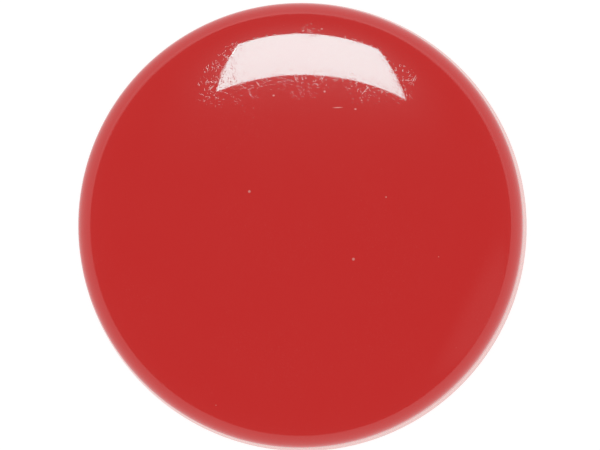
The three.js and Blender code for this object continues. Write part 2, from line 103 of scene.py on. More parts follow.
def shaderGroup(name, sockets, results):
    group = bpy.data.node_groups.new(name, "ShaderNodeTree")
    for label, value in sockets.items():
        kind = "NodeSocketVector" if isinstance(value, tuple) else "NodeSocketFloat"
        made = group.interface.new_socket(label, in_out="INPUT", socket_type=kind)
        made.default_value = value
    for label, kind in results.items():
        group.interface.new_socket(label, in_out="OUTPUT", socket_type=kind)
    return group, addNode(group, "NodeGroupInput").outputs, addNode(group, "NodeGroupOutput")


def useGroup(tree, group, **values):
    made = addNode(tree, "ShaderNodeGroup", node_tree=group)
    for key, value in values.items():
        if isinstance(value, bpy.types.NodeSocket):
            tree.links.new(value, made.inputs[key])
        else:
            made.inputs[key].default_value = value
    return made.outputs


def newMaterial(name, color, **settings):
    made = bpy.data.materials.new(name)
    made.use_nodes = True
    shader = made.node_tree.nodes["Principled BSDF"]
    shader.inputs["Base Color"].default_value = (*color, 1)
    for key, value in settings.items():
        shader.inputs[key].default_value = value
    return made, made.node_tree, shader.inputs


# Wear that several finishes share

# Fine hairline scratches: every layer holds short streaks that run one way
def makeHairlines():
    group, given, result = shaderGroup(
        "hairlines",
        {"Length": 30 * mm, "Gap": 0.7 * mm, "Width": 0.05, "Share": 0.35, "Bend": 0.5 * mm},
        {"Mask": "NodeSocketFloat"},
    )
    coords = addNode(group, "ShaderNodeTexCoord").outputs["Object"]
    sway = addNode(group, "ShaderNodeTexNoise", {"Vector": coords, "Scale": 160.0, "Detail": 1.0})
    sway = addNode(group, "ShaderNodeVectorMath", {0: sway.outputs["Color"], 1: (0.5, 0.5, 0.5)},
                   operation="SUBTRACT").outputs[0]
    sway = addNode(group, "ShaderNodeVectorMath", {0: sway, "Scale": given["Bend"]},
                   operation="SCALE").outputs[0]
    bent = addNode(group, "ShaderNodeVectorMath", {0: coords, 1: sway}, operation="ADD").outputs[0]
    stretch = addNode(group, "ShaderNodeCombineXYZ",
                      {"X": given["Length"], "Y": given["Gap"], "Z": 1.0}).outputs[0]
    total = None
    for turn, shift in ((0.12, 0.3), (0.55, 1.7), (1.02, 3.1), (1.42, 4.6), (1.83, 6.2), (2.3, 7.9),
                        (2.72, 9.4)):
        place = addNode(group, "ShaderNodeMapping", {
            "Vector": bent, "Location": (shift, shift / 3, 0), "Rotation": (0, 0, turn), "Scale": stretch,
        }, vector_type="TEXTURE").outputs[0]
        cells = addNode(group, "ShaderNodeTexVoronoi", {"Vector": place, "Scale": 1.0},
                        voronoi_dimensions="2D")
        line = mapRange(group, cells.outputs["Distance"], 0.0, given["Width"], 1.0, 0.0)
        pick = addNode(group, "ShaderNodeSeparateColor", {"Color": cells.outputs["Color"]}).outputs[0]
        line = mathNode(group, "MULTIPLY", line, mathNode(group, "LESS_THAN", pick, given["Share"]))
        total = line if total is None else mathNode(group, "MAXIMUM", total, line)
    group.links.new(total, result.inputs["Mask"])
    return group


# Specks of dust: small round dots, only some of the cells hold one
def makeSpecks():
    group, given, result = shaderGroup(
        "dustSpecks", {"Spacing": 3 * mm, "Size": 0.06, "Share": 0.3}, {"Mask": "NodeSocketFloat"},
    )
    coords = addNode(group, "ShaderNodeTexCoord").outputs["Object"]
    scale = mathNode(group, "DIVIDE", 1.0, given["Spacing"])
    cells = addNode(group, "ShaderNodeTexVoronoi", {"Vector": coords, "Scale": scale})
    picks = addNode(group, "ShaderNodeSeparateColor", {"Color": cells.outputs["Color"]})
    size = mathNode(group, "MULTIPLY", given["Size"], mathNode(group, "ADD", picks.outputs[1], 0.35))
    dot = mapRange(group, cells.outputs["Distance"], mathNode(group, "MULTIPLY", size, 0.6), size, 1.0, 0.0)
    dot = mathNode(group, "MULTIPLY", dot, mathNode(group, "LESS_THAN", picks.outputs[0], given["Share"]))
    group.links.new(dot, result.inputs["Mask"])
    return group


# Soft blotches from handling, between 0 and 1
def makeSmudges():
    group, given, result = shaderGroup(
        "smudges", {"Scale": 90.0, "Contrast": 0.5}, {"Mask": "NodeSocketFloat", "Fine": "NodeSocketFloat"},
    )
    coords = addNode(group, "ShaderNodeTexCoord").outputs["Object"]
    broad = addNode(group, "ShaderNodeTexNoise", {"Vector": coords, "Scale": given["Scale"], "Detail": 4.0,
                                                  "Roughness": 0.6, "Distortion": 0.4}).outputs["Fac"]
    low = mathNode(group, "MULTIPLY_ADD", given["Contrast"], -0.3, 0.5)
    high = mathNode(group, "MULTIPLY_ADD", given["Contrast"], 0.3, 0.5)
    group.links.new(mapRange(group, broad, low, high, smooth=True), result.inputs["Mask"])
    fine = noise(group, coords, 2600.0, 2.0)
    group.links.new(fine, result.inputs["Fine"])
    return group


# Fine grain of a moulded or cast surface, as a height
def makeGrain():
    group, given, result = shaderGroup(
        "mouldGrain", {"Scale": 3500.0, "Detail": 3.0},
        {"Height": "NodeSocketFloat", "Mask": "NodeSocketFloat"},
    )
    coords = addNode(group, "ShaderNodeTexCoord").outputs["Object"]
    pits = addNode(group, "ShaderNodeTexNoise", {"Vector": coords, "Scale": given["Scale"],
                                                 "Detail": given["Detail"],
                                                 "Roughness": 0.55}).outputs["Fac"]
    group.links.new(pits, result.inputs["Height"])
    wide = noise(group, coords, 260.0, 3.0)
    group.links.new(mapRange(group, wide, 0.35, 0.65), result.inputs["Mask"])
    return group


# One nick on the top: Place is the spot looked at, At is where the nick lies,
# and Size is its half length and half width
def makeNick():
    group, given, result = shaderGroup(
        "nick", {"Place": (0, 0, 0), "At": (0, 0, 0), "Turn": (0, 0, 0), "Size": (1, 1, 1)},
        {"Mask": "NodeSocketFloat"},
    )
    local = addNode(group, "ShaderNodeMapping", {
        "Vector": given["Place"], "Location": given["At"], "Rotation": given["Turn"],
        "Scale": given["Size"],
    }, vector_type="TEXTURE").outputs[0]
    reach = vectorLength(group, local)
    group.links.new(mapRange(group, reach, 0.2, 1.0, 1.0, 0.0), result.inputs["Mask"])
    return group


hairlines = makeHairlines()
nick = makeNick()
dustSpecks = makeSpecks()
smudges = makeSmudges()
mouldGrain = makeGrain()
print("wear groups made")

redFinish = {
    "color": (0.535, 0.0062, 0.0045), "roughness": 0.03, "haze": 0.12, "hazeRoughness": 0.34,
    "grooveDepth": 0.024 * mm, "pitDepth": 0.035 * mm, "dust": (0.80, 0.50, 0.44),
}
# Places where the cap has been rubbed: x, y, reach and how worn it is
rubbed = ((-15.8, 30.6, 4.6, 1.0), (-18.2, 26.6, 4.0, 1.0), (-13.4, 34.6, 2.6, 0.9), (20.8, 29.6, 4.5, 0.6),
          (0.0, 27.0, 10.0, 0.26), (12.5, 26.0, 7.0, 0.26), (2.0, 39.2, 3.0, 0.6))
# Single nicks: x, y, half length, half width and turn, in millimetres and degrees
nicks = (
    (4.9, 26.4, 0.28, 0.26, 0), (7.5, 23.2, 1.2, 0.13, 2), (12.9, 26.6, 1.4, 0.11, 50),
    (-8.3, 27.9, 0.8, 0.16, -52), (4.5, 29.0, 0.8, 0.12, 64), (22.6, 29.0, 1.1, 0.12, 62),
    (-13.1, 34.5, 2.0, 0.12, 56), (-15.6, 30.2, 1.1, 0.22, 68), (-17.6, 27.2, 0.9, 0.2, 40),
    (0.6, 38.6, 0.35, 0.2, 20), (4.3, 39.0, 0.3, 0.18, 0), (11.0, 22.9, 0.3, 0.2, 0),
    (-5.2, 25.6, 0.3, 0.22, 10),
)


def makeGlossRed(name, wear, marked=False):
    made, tree, shader = newMaterial(
        name, redFinish["color"],
        **{"Coat Weight": redFinish["haze"], "Coat Roughness": redFinish["hazeRoughness"]},
    )
    blots = useGroup(tree, smudges)
    coords = addNode(tree, "ShaderNodeTexCoord").outputs["Object"]
    worn = noise(tree, coords, 48.0, 2.0)
    worn = mapRange(tree, worn, 0.45, 0.7, 0.06 * wear, 0.22 * wear, smooth=True)
    marks = None
    if marked:
        flat = addNode(tree, "ShaderNodeVectorMath", {0: coords, 1: (1, 1, 0)},
                       operation="MULTIPLY").outputs[0]
        for x, y, reach, amount in rubbed:
            away = addNode(tree, "ShaderNodeVectorMath", {0: flat, 1: (x * mm, y * mm, 0)},
                           operation="DISTANCE").outputs["Value"]
            worn = mathNode(tree, "MAXIMUM", worn,
                            mapRange(tree, away, 0.0, reach * mm, amount, 0.0, smooth=True))
        for x, y, length, width, turn in nicks:
            one = useGroup(tree, nick, Place=flat, At=(x * mm, y * mm, 0), Turn=(0, 0, math.radians(turn)),
                           Size=(length * mm, width * mm, 1))["Mask"]
            marks = one if marks is None else mathNode(tree, "MAXIMUM", marks, one)
    short = useGroup(tree, hairlines, Length=3.2 * mm, Gap=0.5 * mm, Width=0.11, Share=0.5)["Mask"]
    grooves = mathNode(tree, "MULTIPLY", short, worn)
    pits = useGroup(tree, dustSpecks, Spacing=0.85 * mm, Size=0.2, Share=0.4)["Mask"]
    pits = mathNode(tree, "MULTIPLY", pits, worn)
    specks = useGroup(tree, dustSpecks, Spacing=3.4 * mm, Size=0.075, Share=0.14 * wear)["Mask"]
    tone = mathNode(tree, "MULTIPLY", blots["Mask"], 0.05)
    color = mixColor(tree, tone, (*redFinish["color"], 1), (0.56, 0.02, 0.016, 1))
    chalk = mathNode(tree, "MULTIPLY_ADD", pits, 0.06, mathNode(tree, "MULTIPLY", grooves, 0.07))
    if marked:
        chalk = mathNode(tree, "MULTIPLY_ADD", marks, 0.45, chalk)
    color = mixColor(tree, chalk, color, (1.0, 0.72, 0.68, 1))
    color = mixColor(tree, mathNode(tree, "MULTIPLY", specks, 0.3), color, (*redFinish["dust"], 1))
    tree.links.new(color, shader["Base Color"])
    rough = mathNode(tree, "MULTIPLY_ADD", blots["Mask"], 0.02, redFinish["roughness"])
    rough = mathNode(tree, "MULTIPLY_ADD", specks, 0.4,
                     mathNode(tree, "MULTIPLY_ADD", grooves, 0.05, rough))
    tree.links.new(rough, shader["Roughness"])
    dents = mathNode(tree, "MULTIPLY_ADD", grooves, -redFinish["grooveDepth"] / redFinish["pitDepth"], pits)
    bump = addNode(tree, "ShaderNodeBump",
                   {"Height": dents, "Distance": redFinish["pitDepth"], "Strength": 1.0})
    tree.links.new(bump.outputs[0], shader["Normal"])
    return made


glossRed = makeGlossRed("glossRedCap", 1.0, marked=True)
glossRedBase = makeGlossRed("glossRedBase", 0.35)
print("materials made")


# Geometry Nodes helpers

def nodesTree(name, sockets):
    tree = bpy.data.node_groups.new(name, "GeometryNodeTree")
    tree.interface.new_socket("Geometry", in_out="INPUT", socket_type="NodeSocketGeometry")
    for label, value in sockets.items():
        kind = {int: "NodeSocketInt", float: "NodeSocketFloat"}.get(type(value), "NodeSocketMaterial")
        made = tree.interface.new_socket(label, in_out="INPUT", socket_type=kind)
        if kind != "NodeSocketMaterial":
            made.default_value = value
    tree.interface.new_socket("Geometry", in_out="OUTPUT", socket_type="NodeSocketGeometry")
    return tree, addNode(tree, "NodeGroupInput").outputs, addNode(tree, "NodeGroupOutput")


def finishTree(tree, given, result, geometry):
    real = addNode(tree, "GeometryNodeRealizeInstances", {"Geometry": geometry}).outputs[0]
    paint = addNode(tree, "GeometryNodeSetMaterial", {"Geometry": real, "Material": given["Material"]})
    tree.links.new(paint.outputs[0], result.inputs[0])


def plainMesh(source, name):
    shape = source.evaluated_get(bpy.context.evaluated_depsgraph_get())
    mesh = bpy.data.meshes.new_from_object(shape)
    mesh.name = name
    piece = bpy.data.objects.new(name, mesh)
    bpy.context.scene.collection.objects.link(piece)
    bpy.data.objects.remove(source)
    return piece


# Runs a tree on a mesh with the values given by name and keeps the result as a plain mesh
def runTree(tree, name, values, base=None):
    source = bpy.data.objects.new(name + "Source", base or bpy.data.meshes.new(name + "Source"))
    bpy.context.scene.collection.objects.link(source)
    modifier = source.modifiers.new("shape", "NODES")
    modifier.node_group = tree
    labels = {s.name: s.identifier for s in tree.interface.items_tree
              if s.item_type == "SOCKET" and s.in_out == "INPUT"}
    for label, value in values.items():
        modifier[labels[label]] = value
    return plainMesh(source, name)


def smooth(piece, angle=35):
    mesh = piece.data
    for face in mesh.polygons:
        face.use_smooth = True
    sharp = math.radians(angle)
    made = bmesh.new()
    made.from_mesh(mesh)
    for edge in made.edges:
        edge.smooth = len(edge.link_faces) == 2 and edge.calc_face_angle(0) < sharp
    made.to_mesh(mesh)
    made.free()
    return piece


# A closed shape turned round the Z axis from an outline of (radius, height) points
def turned(name, outline, place=(0, 0, 0), sides=96, material=None):
    mesh = bpy.data.meshes.new(name)
    made = bmesh.new()
    area = sum(a[0] * b[1] - b[0] * a[1] for a, b in zip(outline, outline[1:] + outline[:1]))
    outline = outline if area > 0 else outline[::-1]
    closed = outline[0][0] > 1e-7 or outline[-1][0] > 1e-7
    rings = []
    for r, z in outline:
        if r < 1e-7:
            rings.append([made.verts.new((place[0], place[1], place[2] + z))] * sides)
            continue
        ring = []
        for i in range(sides):
            t = 2 * math.pi * i / sides
            ring.append(made.verts.new((place[0] + r * math.cos(t), place[1] + r * math.sin(t),
                                        place[2] + z)))
        rings.append(ring)
    pairs = list(zip(rings, rings[1:] + rings[:1])) if closed else list(zip(rings, rings[1:]))
    for low, high in pairs:
        for i in range(sides):
            j = (i + 1) % sides
            corners = []
            for vert in (low[i], low[j], high[j], high[i]):
                if vert not in corners:
                    corners.append(vert)
            if len(corners) > 2:
                made.faces.new(corners)
    made.to_mesh(mesh)
    made.free()
    piece = bpy.data.objects.new(name, mesh)
    bpy.context.scene.collection.objects.link(piece)
    if material:
        mesh.materials.append(material)
    return smooth(piece)


def arcPoints(r, z, radius, start, end, steps=6):
    points = []
    for i in range(steps + 1):
        t = math.radians(start + (end - start) * i / steps)
        points.append((r + radius * math.cos(t), z + radius * math.sin(t)))
    return points


# Finishes of the pieces inside and below

def makePlastic(name, color, roughness, wear=0.5, grain=0.5, grainScale=3500.0):
    made, tree, shader = newMaterial(name, color)
    blots = useGroup(tree, smudges, Scale=120.0)
    texture = useGroup(tree, mouldGrain, Scale=grainScale)
    lines = useGroup(tree, hairlines, Length=9 * mm, Gap=0.9 * mm, Width=0.05, Share=0.25 * wear)["Mask"]
    specks = useGroup(tree, dustSpecks, Spacing=2.2 * mm, Share=0.2 * wear)["Mask"]
    lighter = tuple(min(1.0, c * 1.25 + 0.01) for c in color)
    tint = mixColor(tree, mathNode(tree, "MULTIPLY", blots["Mask"], 0.4), (*color, 1), (*lighter, 1))
    worn = mathNode(tree, "MULTIPLY_ADD", specks, 0.5, mathNode(tree, "MULTIPLY", lines, 0.12))
    tint = mixColor(tree, worn, tint, (0.5, 0.48, 0.45, 1))
    tree.links.new(tint, shader["Base Color"])
    rough = mathNode(tree, "MULTIPLY_ADD", texture["Mask"], 0.12, roughness - 0.06)
    tree.links.new(mathNode(tree, "MULTIPLY_ADD", lines, 0.1, rough), shader["Roughness"])
    bump = addNode(tree, "ShaderNodeBump",
                   {"Height": texture["Height"], "Distance": 0.05 * mm, "Strength": grain})
    tree.links.new(bump.outputs[0], shader["Normal"])
    return made


def makeMetal(name, color, roughness, drawn=(1.0, 1.0, 14.0), stain=(0.3, 0.24, 0.17)):
    made, tree, shader = newMaterial(name, color, Metallic=1.0)
    place = objectPlace(tree, scale=drawn)
    streaks = noise(tree, place, 900.0, 3.0)
    blots = useGroup(tree, smudges, Scale=300.0, Contrast=0.8)
    lines = useGroup(tree, hairlines, Length=3 * mm, Gap=0.5 * mm, Share=0.25)["Mask"]
    tint = mixColor(tree, mathNode(tree, "MULTIPLY", blots["Mask"], 0.22), (*color, 1), (*stain, 1))
    tree.links.new(tint, shader["Base Color"])
    rough = mathNode(tree, "MULTIPLY_ADD", streaks, 0.22, roughness - 0.08)
    tree.links.new(mathNode(tree, "MULTIPLY_ADD", lines, 0.12, rough), shader["Roughness"])
    bump = addNode(tree, "ShaderNodeBump", {"Height": streaks, "Distance": 0.02 * mm, "Strength": 0.35})
    tree.links.new(bump.outputs[0], shader["Normal"])
    return made


# Fibres of paper, foam pores or solder mask weave, by the scale of two noises
def makeSoft(name, color, roughness, scale, stretch=(1.0, 1.0, 1.0), depth=0.1):
    made, tree, shader = newMaterial(name, color)
    place = objectPlace(tree, scale=stretch)
    fibres = addNode(tree, "ShaderNodeTexNoise", {"Vector": place, "Scale": scale, "Detail": 5.0,
                                                  "Roughness": 0.7}).outputs["Fac"]
    cells = addNode(tree, "ShaderNodeTexVoronoi",
                    {"Vector": place, "Scale": scale * 0.7}).outputs["Distance"]
    both = mathNode(tree, "MULTIPLY_ADD", cells, 0.6, fibres)
    dark = tuple(c * 0.6 for c in color)
    light = tuple(min(1.0, c * 1.4 + 0.01) for c in color)
    tree.links.new(mixColor(tree, mapRange(tree, both, 0.4, 1.0), (*dark, 1), (*light, 1)),
                   shader["Base Color"])
    tree.links.new(mapRange(tree, fibres, 0.2, 0.8, roughness - 0.08, roughness + 0.08),
                   shader["Roughness"])
    bump = addNode(tree, "ShaderNodeBump", {"Height": both, "Distance": depth * mm, "Strength": 0.6})
    tree.links.new(bump.outputs[0], shader["Normal"])
    return made


# Colour by place along one axis: (start, end, colour) in metres
def makeBanded(name, color, axis, bands, roughness):
    made, tree, shader = newMaterial(name, color)
    coords = addNode(tree, "ShaderNodeTexCoord").outputs["Object"]
    along = addNode(tree, "ShaderNodeSeparateXYZ", {"Vector": coords}).outputs[axis]
    blots = useGroup(tree, smudges, Scale=200.0)
    lines = useGroup(tree, hairlines, Length=6 * mm, Gap=0.7 * mm, Share=0.3)["Mask"]
    tint = mixColor(tree, mathNode(tree, "MULTIPLY", blots["Mask"], 0.15), (*color, 1),
                    (*(c * 0.7 for c in color), 1))
    for start, end, paint in bands:
        inside = mathNode(tree, "MULTIPLY", mathNode(tree, "GREATER_THAN", along, start),
                          mathNode(tree, "LESS_THAN", along, end))
        tint = mixColor(tree, inside, tint, (*paint, 1))
    tint = mixColor(tree, mathNode(tree, "MULTIPLY", lines, 0.25), tint, (0.6, 0.6, 0.6, 1))
    tree.links.new(tint, shader["Base Color"])
    tree.links.new(mathNode(tree, "MULTIPLY_ADD", blots["Mask"], 0.1, roughness), shader["Roughness"])
    bump = addNode(tree, "ShaderNodeBump",
                   {"Height": blots["Fine"], "Distance": 0.01 * mm, "Strength": 0.5})
    tree.links.new(bump.outputs[0], shader["Normal"])
    return made


darkPlastic = makePlastic("darkPlastic", (0.020, 0.021, 0.024), 0.5, 0.8, 0.5)
whitePlastic = makePlastic("whitePlastic", (0.75, 0.73, 0.68), 0.42, 0.4, 0.25)
rubber = makePlastic("rubber", (0.012, 0.012, 0.012), 0.82, 1.0, 0.9, 2200.0)
blackEpoxy = makePlastic("blackEpoxy", (0.011, 0.011, 0.012), 0.34, 0.3, 0.6, 1500.0)
steel = makeMetal("steel", (0.56, 0.57, 0.58), 0.3)
springSteel = makeMetal("springSteel", (0.50, 0.51, 0.53), 0.27, (1, 1, 1))
nickel = makeMetal("nickel", (0.62, 0.59, 0.53), 0.26, (14, 1, 1))
tin = makeMetal("solder", (0.66, 0.66, 0.67), 0.33, (1, 1, 1))
magnetMetal = makeMetal("magnetMetal", (0.30, 0.31, 0.33), 0.4, (1, 1, 5))
boardGreen = makeSoft("boardGreen", (0.018, 0.13, 0.045), 0.36, 1100.0, depth=0.015)
trackGreen = makeSoft("trackGreen", (0.035, 0.21, 0.075), 0.34, 1100.0, depth=0.01)
paper = makeSoft("conePaper", (0.045, 0.038, 0.034), 0.86, 2600.0, (1, 1, 0.4), 0.12)
foam = makeSoft("foam", (0.022, 0.022, 0.024), 0.93, 1700.0, depth=0.25)
redWire = makePlastic("redWire", (0.50, 0.022, 0.014), 0.42, 0.3, 0.3)
blackWire = makePlastic("blackWire", (0.012, 0.012, 0.012), 0.42, 0.3, 0.3)
print("inner finishes made")


# Closed shapes put together into pieces

def link(name, mesh):
    piece = bpy.data.objects.new(name, mesh)
    bpy.context.scene.collection.objects.link(piece)
    return piece


def block(name, low, high, edge=0.0, material=None, steps=2):
    made = bmesh.new()
    bmesh.ops.create_cube(made, size=1.0)
    low, high = Vector(low), Vector(high)
    for vert in made.verts:
        vert.co = Vector([low[i] + (vert.co[i] + 0.5) * (high[i] - low[i]) for i in range(3)])
    if edge:
        bmesh.ops.bevel(made, geom=made.edges[:], offset=edge, segments=steps, profile=0.5, affect="EDGES")
    mesh = bpy.data.meshes.new(name)
    made.to_mesh(mesh)
    made.free()
    if material:
        mesh.materials.append(material)
    return smooth(link(name, mesh))


# An outline in the plane, given a thickness from z0 to z1, with its edges rounded
def plate(name, outline, z0, z1, edge=0.0, material=None):
    made = bmesh.new()
    face = made.faces.new([made.verts.new((x, y, z0)) for x, y in outline])
    face.normal_update()
    if face.normal.z > 0:
        face.normal_flip()
    pushed = bmesh.ops.extrude_face_region(made, geom=[face], use_keep_orig=True)
    top = [v for v in pushed["geom"] if isinstance(v, bmesh.types.BMVert)]
    for vert in top:
        vert.co.z = z1
    bmesh.ops.recalc_face_normals(made, faces=made.faces[:])
    if edge:
        rims = [e for e in made.edges if abs(e.verts[0].co.z - e.verts[1].co.z) < 1e-9]
        bmesh.ops.bevel(made, geom=rims, offset=edge, segments=2, profile=0.5, affect="EDGES")
    mesh = bpy.data.meshes.new(name)
    made.to_mesh(mesh)
    made.free()
    if material:
        mesh.materials.append(material)
    return smooth(link(name, mesh))


def turnPiece(piece, matrix):
    piece.data.transform(matrix)
    if matrix.determinant() < 0:
        piece.data.flip_normals()
    return piece


def moved(piece, x=0.0, y=0.0, z=0.0, turn=0.0):
    return turnPiece(piece, Matrix.Translation((x, y, z)) @ Matrix.Rotation(turn, 4, "Z"))


def copyOf(piece, matrix):
    return turnPiece(link(piece.name + "Copy", piece.data.copy()), matrix)


def joinPieces(name, parts):
    mesh = bpy.data.meshes.new(name)
    made = bmesh.new()
    paints = []
    for part in parts:
        start = len(made.faces)
        made.from_mesh(part.data)
        made.faces.ensure_lookup_table()
        own = list(part.data.materials)
        for material in own:
            if material not in paints:
                paints.append(material)
        for face in made.faces[start:]:
            if own:
                face.material_index = paints.index(own[min(face.material_index, len(own) - 1)])
        bpy.data.objects.remove(part)
    made.to_mesh(mesh)
    made.free()
    for material in paints:
        mesh.materials.append(material)
    return link(name, mesh)


def combine(piece, tools, operation="DIFFERENCE"):
    for tool in tools:
        change = piece.modifiers.new(operation, "BOOLEAN")
        change.operation = operation
        change.solver = "EXACT"
        change.object = tool
    name = piece.name
    paints = list(piece.data.materials)
    made = plainMesh(piece, name)
    for tool in tools:
        bpy.data.objects.remove(tool)
    made.data.materials.clear()
    for material in paints:
        made.data.materials.append(material)
    shape = bmesh.new()
    shape.from_mesh(made.data)
    bmesh.ops.remove_doubles(shape, verts=shape.verts[:], dist=2e-6)
    bmesh.ops.dissolve_degenerate(shape, edges=shape.edges[:], dist=1e-6)
    shape.to_mesh(made.data)
    shape.free()
    made.name = name
    return smooth(made)


def place(piece, body, slot, *replaced):
    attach(piece, body)
    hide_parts(*replaced)
    return piece


def middle(node):
    low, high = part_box(node)
    return (low + high) / 2


def polar(radius, degrees):
    t = math.radians(degrees)
    return radius * math.cos(t), radius * math.sin(t)


# A wire: one path swept by a round section, its ends closed. Copies stand on the points of a ring
def makeCoilTree():
    tree, given, result = nodesTree("coil", {
        "Start Radius": 3.4 * mm, "End Radius": 3.4 * mm, "Length": 11 * mm, "Turns": 5.5,
        "Wire": 0.45 * mm,
        "Closed Turns": 0.75, "Steps": 260, "Sides": 12, "Circle": 24 * mm, "Copies": 3, "First": 30.0,
        "Height": 0.0, "Material": None,
    })
    line = addNode(tree, "GeometryNodeCurvePrimitiveLine", {"Start": (0, 0, 0), "End": (1, 0, 0)})
    path = addNode(tree, "GeometryNodeResampleCurve", {"Curve": line.outputs[0], "Count": given["Steps"]})
    along = addNode(tree, "GeometryNodeSplineParameter").outputs["Factor"]
    angle = mathNode(tree, "MULTIPLY", along, mathNode(tree, "MULTIPLY", given["Turns"], 2 * math.pi))
    rest = mathNode(tree, "DIVIDE", given["Closed Turns"], given["Turns"])
    rise = mapRange(tree, along, rest, mathNode(tree, "SUBTRACT", 1.0, rest))
    radius = mapRange(tree, along, 0.0, 1.0, given["Start Radius"], given["End Radius"])
    spot = addNode(tree, "ShaderNodeCombineXYZ", {
        "X": mathNode(tree, "MULTIPLY", radius, mathNode(tree, "COSINE", angle)),
        "Y": mathNode(tree, "MULTIPLY", radius, mathNode(tree, "SINE", angle)),
        "Z": mathNode(tree, "MULTIPLY_ADD", rise, given["Length"], given["Wire"]),
    }).outputs[0]
    bent = addNode(tree, "GeometryNodeSetPosition", {"Geometry": path.outputs[0], "Position": spot})
    section = addNode(tree, "GeometryNodeCurvePrimitiveCircle", {"Resolution": given["Sides"],
                                                                "Radius": given["Wire"]}, mode="RADIUS")
    swept = addNode(tree, "GeometryNodeCurveToMesh",
                    {"Curve": bent.outputs[0], "Profile Curve": section.outputs[0],
                                                      "Fill Caps": True})
    ring = addNode(tree, "GeometryNodeCurvePrimitiveCircle", {"Resolution": given["Copies"],
                                                             "Radius": given["Circle"]}, mode="RADIUS")
    turn = addNode(tree, "ShaderNodeCombineXYZ",
                   {"Z": mathNode(tree, "RADIANS", given["First"])}).outputs[0]
    lift = addNode(tree, "ShaderNodeCombineXYZ", {"Z": given["Height"]}).outputs[0]
    seats = addNode(tree, "GeometryNodeTransform", {"Geometry": ring.outputs[0], "Rotation": turn,
                                                    "Translation": lift})
    points = addNode(tree, "GeometryNodeCurveToPoints", {"Curve": seats.outputs[0]}, mode="EVALUATED")
    stood = addNode(tree, "GeometryNodeInstanceOnPoints", {"Points": points.outputs[0],
                                                           "Instance": swept.outputs[0]})
    finishTree(tree, given, result, stood.outputs[0])
    return tree


# Copies of one made piece on a ring, turned to face outwards
def makeRingTree():
    tree = bpy.data.node_groups.new("ringOfPieces", "GeometryNodeTree")
    tree.interface.new_socket("Geometry", in_out="INPUT", socket_type="NodeSocketGeometry")
    for label, kind in (("Piece", "NodeSocketObject"), ("Circle", "NodeSocketFloat"),
                        ("Copies", "NodeSocketInt"),
                        ("First", "NodeSocketFloat"), ("Material", "NodeSocketMaterial")):
        tree.interface.new_socket(label, in_out="INPUT", socket_type=kind)
    tree.interface.new_socket("Geometry", in_out="OUTPUT", socket_type="NodeSocketGeometry")
    given = addNode(tree, "NodeGroupInput").outputs
    result = addNode(tree, "NodeGroupOutput")
    part = addNode(tree, "GeometryNodeObjectInfo", {"Object": given["Piece"]}).outputs["Geometry"]
    ring = addNode(tree, "GeometryNodeCurvePrimitiveCircle", {"Resolution": given["Copies"],
                                                             "Radius": given["Circle"]}, mode="RADIUS")
    first = mathNode(tree, "RADIANS", given["First"])
    turn = addNode(tree, "ShaderNodeCombineXYZ", {"Z": first}).outputs[0]
    seats = addNode(tree, "GeometryNodeTransform", {"Geometry": ring.outputs[0], "Rotation": turn})
    points = addNode(tree, "GeometryNodeCurveToPoints", {"Curve": seats.outputs[0]}, mode="EVALUATED")
    index = addNode(tree, "GeometryNodeInputIndex").outputs[0]
    step = mathNode(tree, "DIVIDE", 2 * math.pi, given["Copies"])
    facing = addNode(tree, "ShaderNodeCombineXYZ",
                     {"Z": mathNode(tree, "MULTIPLY_ADD", index, step, first)})
    stood = addNode(tree, "GeometryNodeInstanceOnPoints", {"Points": points.outputs[0], "Instance": part,
                                                           "Rotation": facing.outputs[0]})
    finishTree(tree, given, result, stood.outputs[0])
    return tree


# A lead along a smooth path through the points of the source mesh
def makeLeadTree():
    tree, given, result = nodesTree("lead", {"Radius": 0.6 * mm, "Spacing": 0.35 * mm, "Sides": 14,
                                             "Material": None})
    path = addNode(tree, "GeometryNodeMeshToCurve", {"Mesh": given["Geometry"]}).outputs[0]
    eased = addNode(tree, "GeometryNodeCurveSplineType", {"Curve": path},
                    spline_type="CATMULL_ROM").outputs[0]
    fine = addNode(tree, "GeometryNodeResampleCurve", {"Curve": eased, "Length": given["Spacing"]},
                   mode="LENGTH")
    section = addNode(tree, "GeometryNodeCurvePrimitiveCircle", {"Resolution": given["Sides"],
                                                                "Radius": given["Radius"]}, mode="RADIUS")
    swept = addNode(tree, "GeometryNodeCurveToMesh",
                    {"Curve": fine.outputs[0], "Profile Curve": section.outputs[0],
                                                      "Fill Caps": True})
    finishTree(tree, given, result, swept.outputs[0])
    return tree


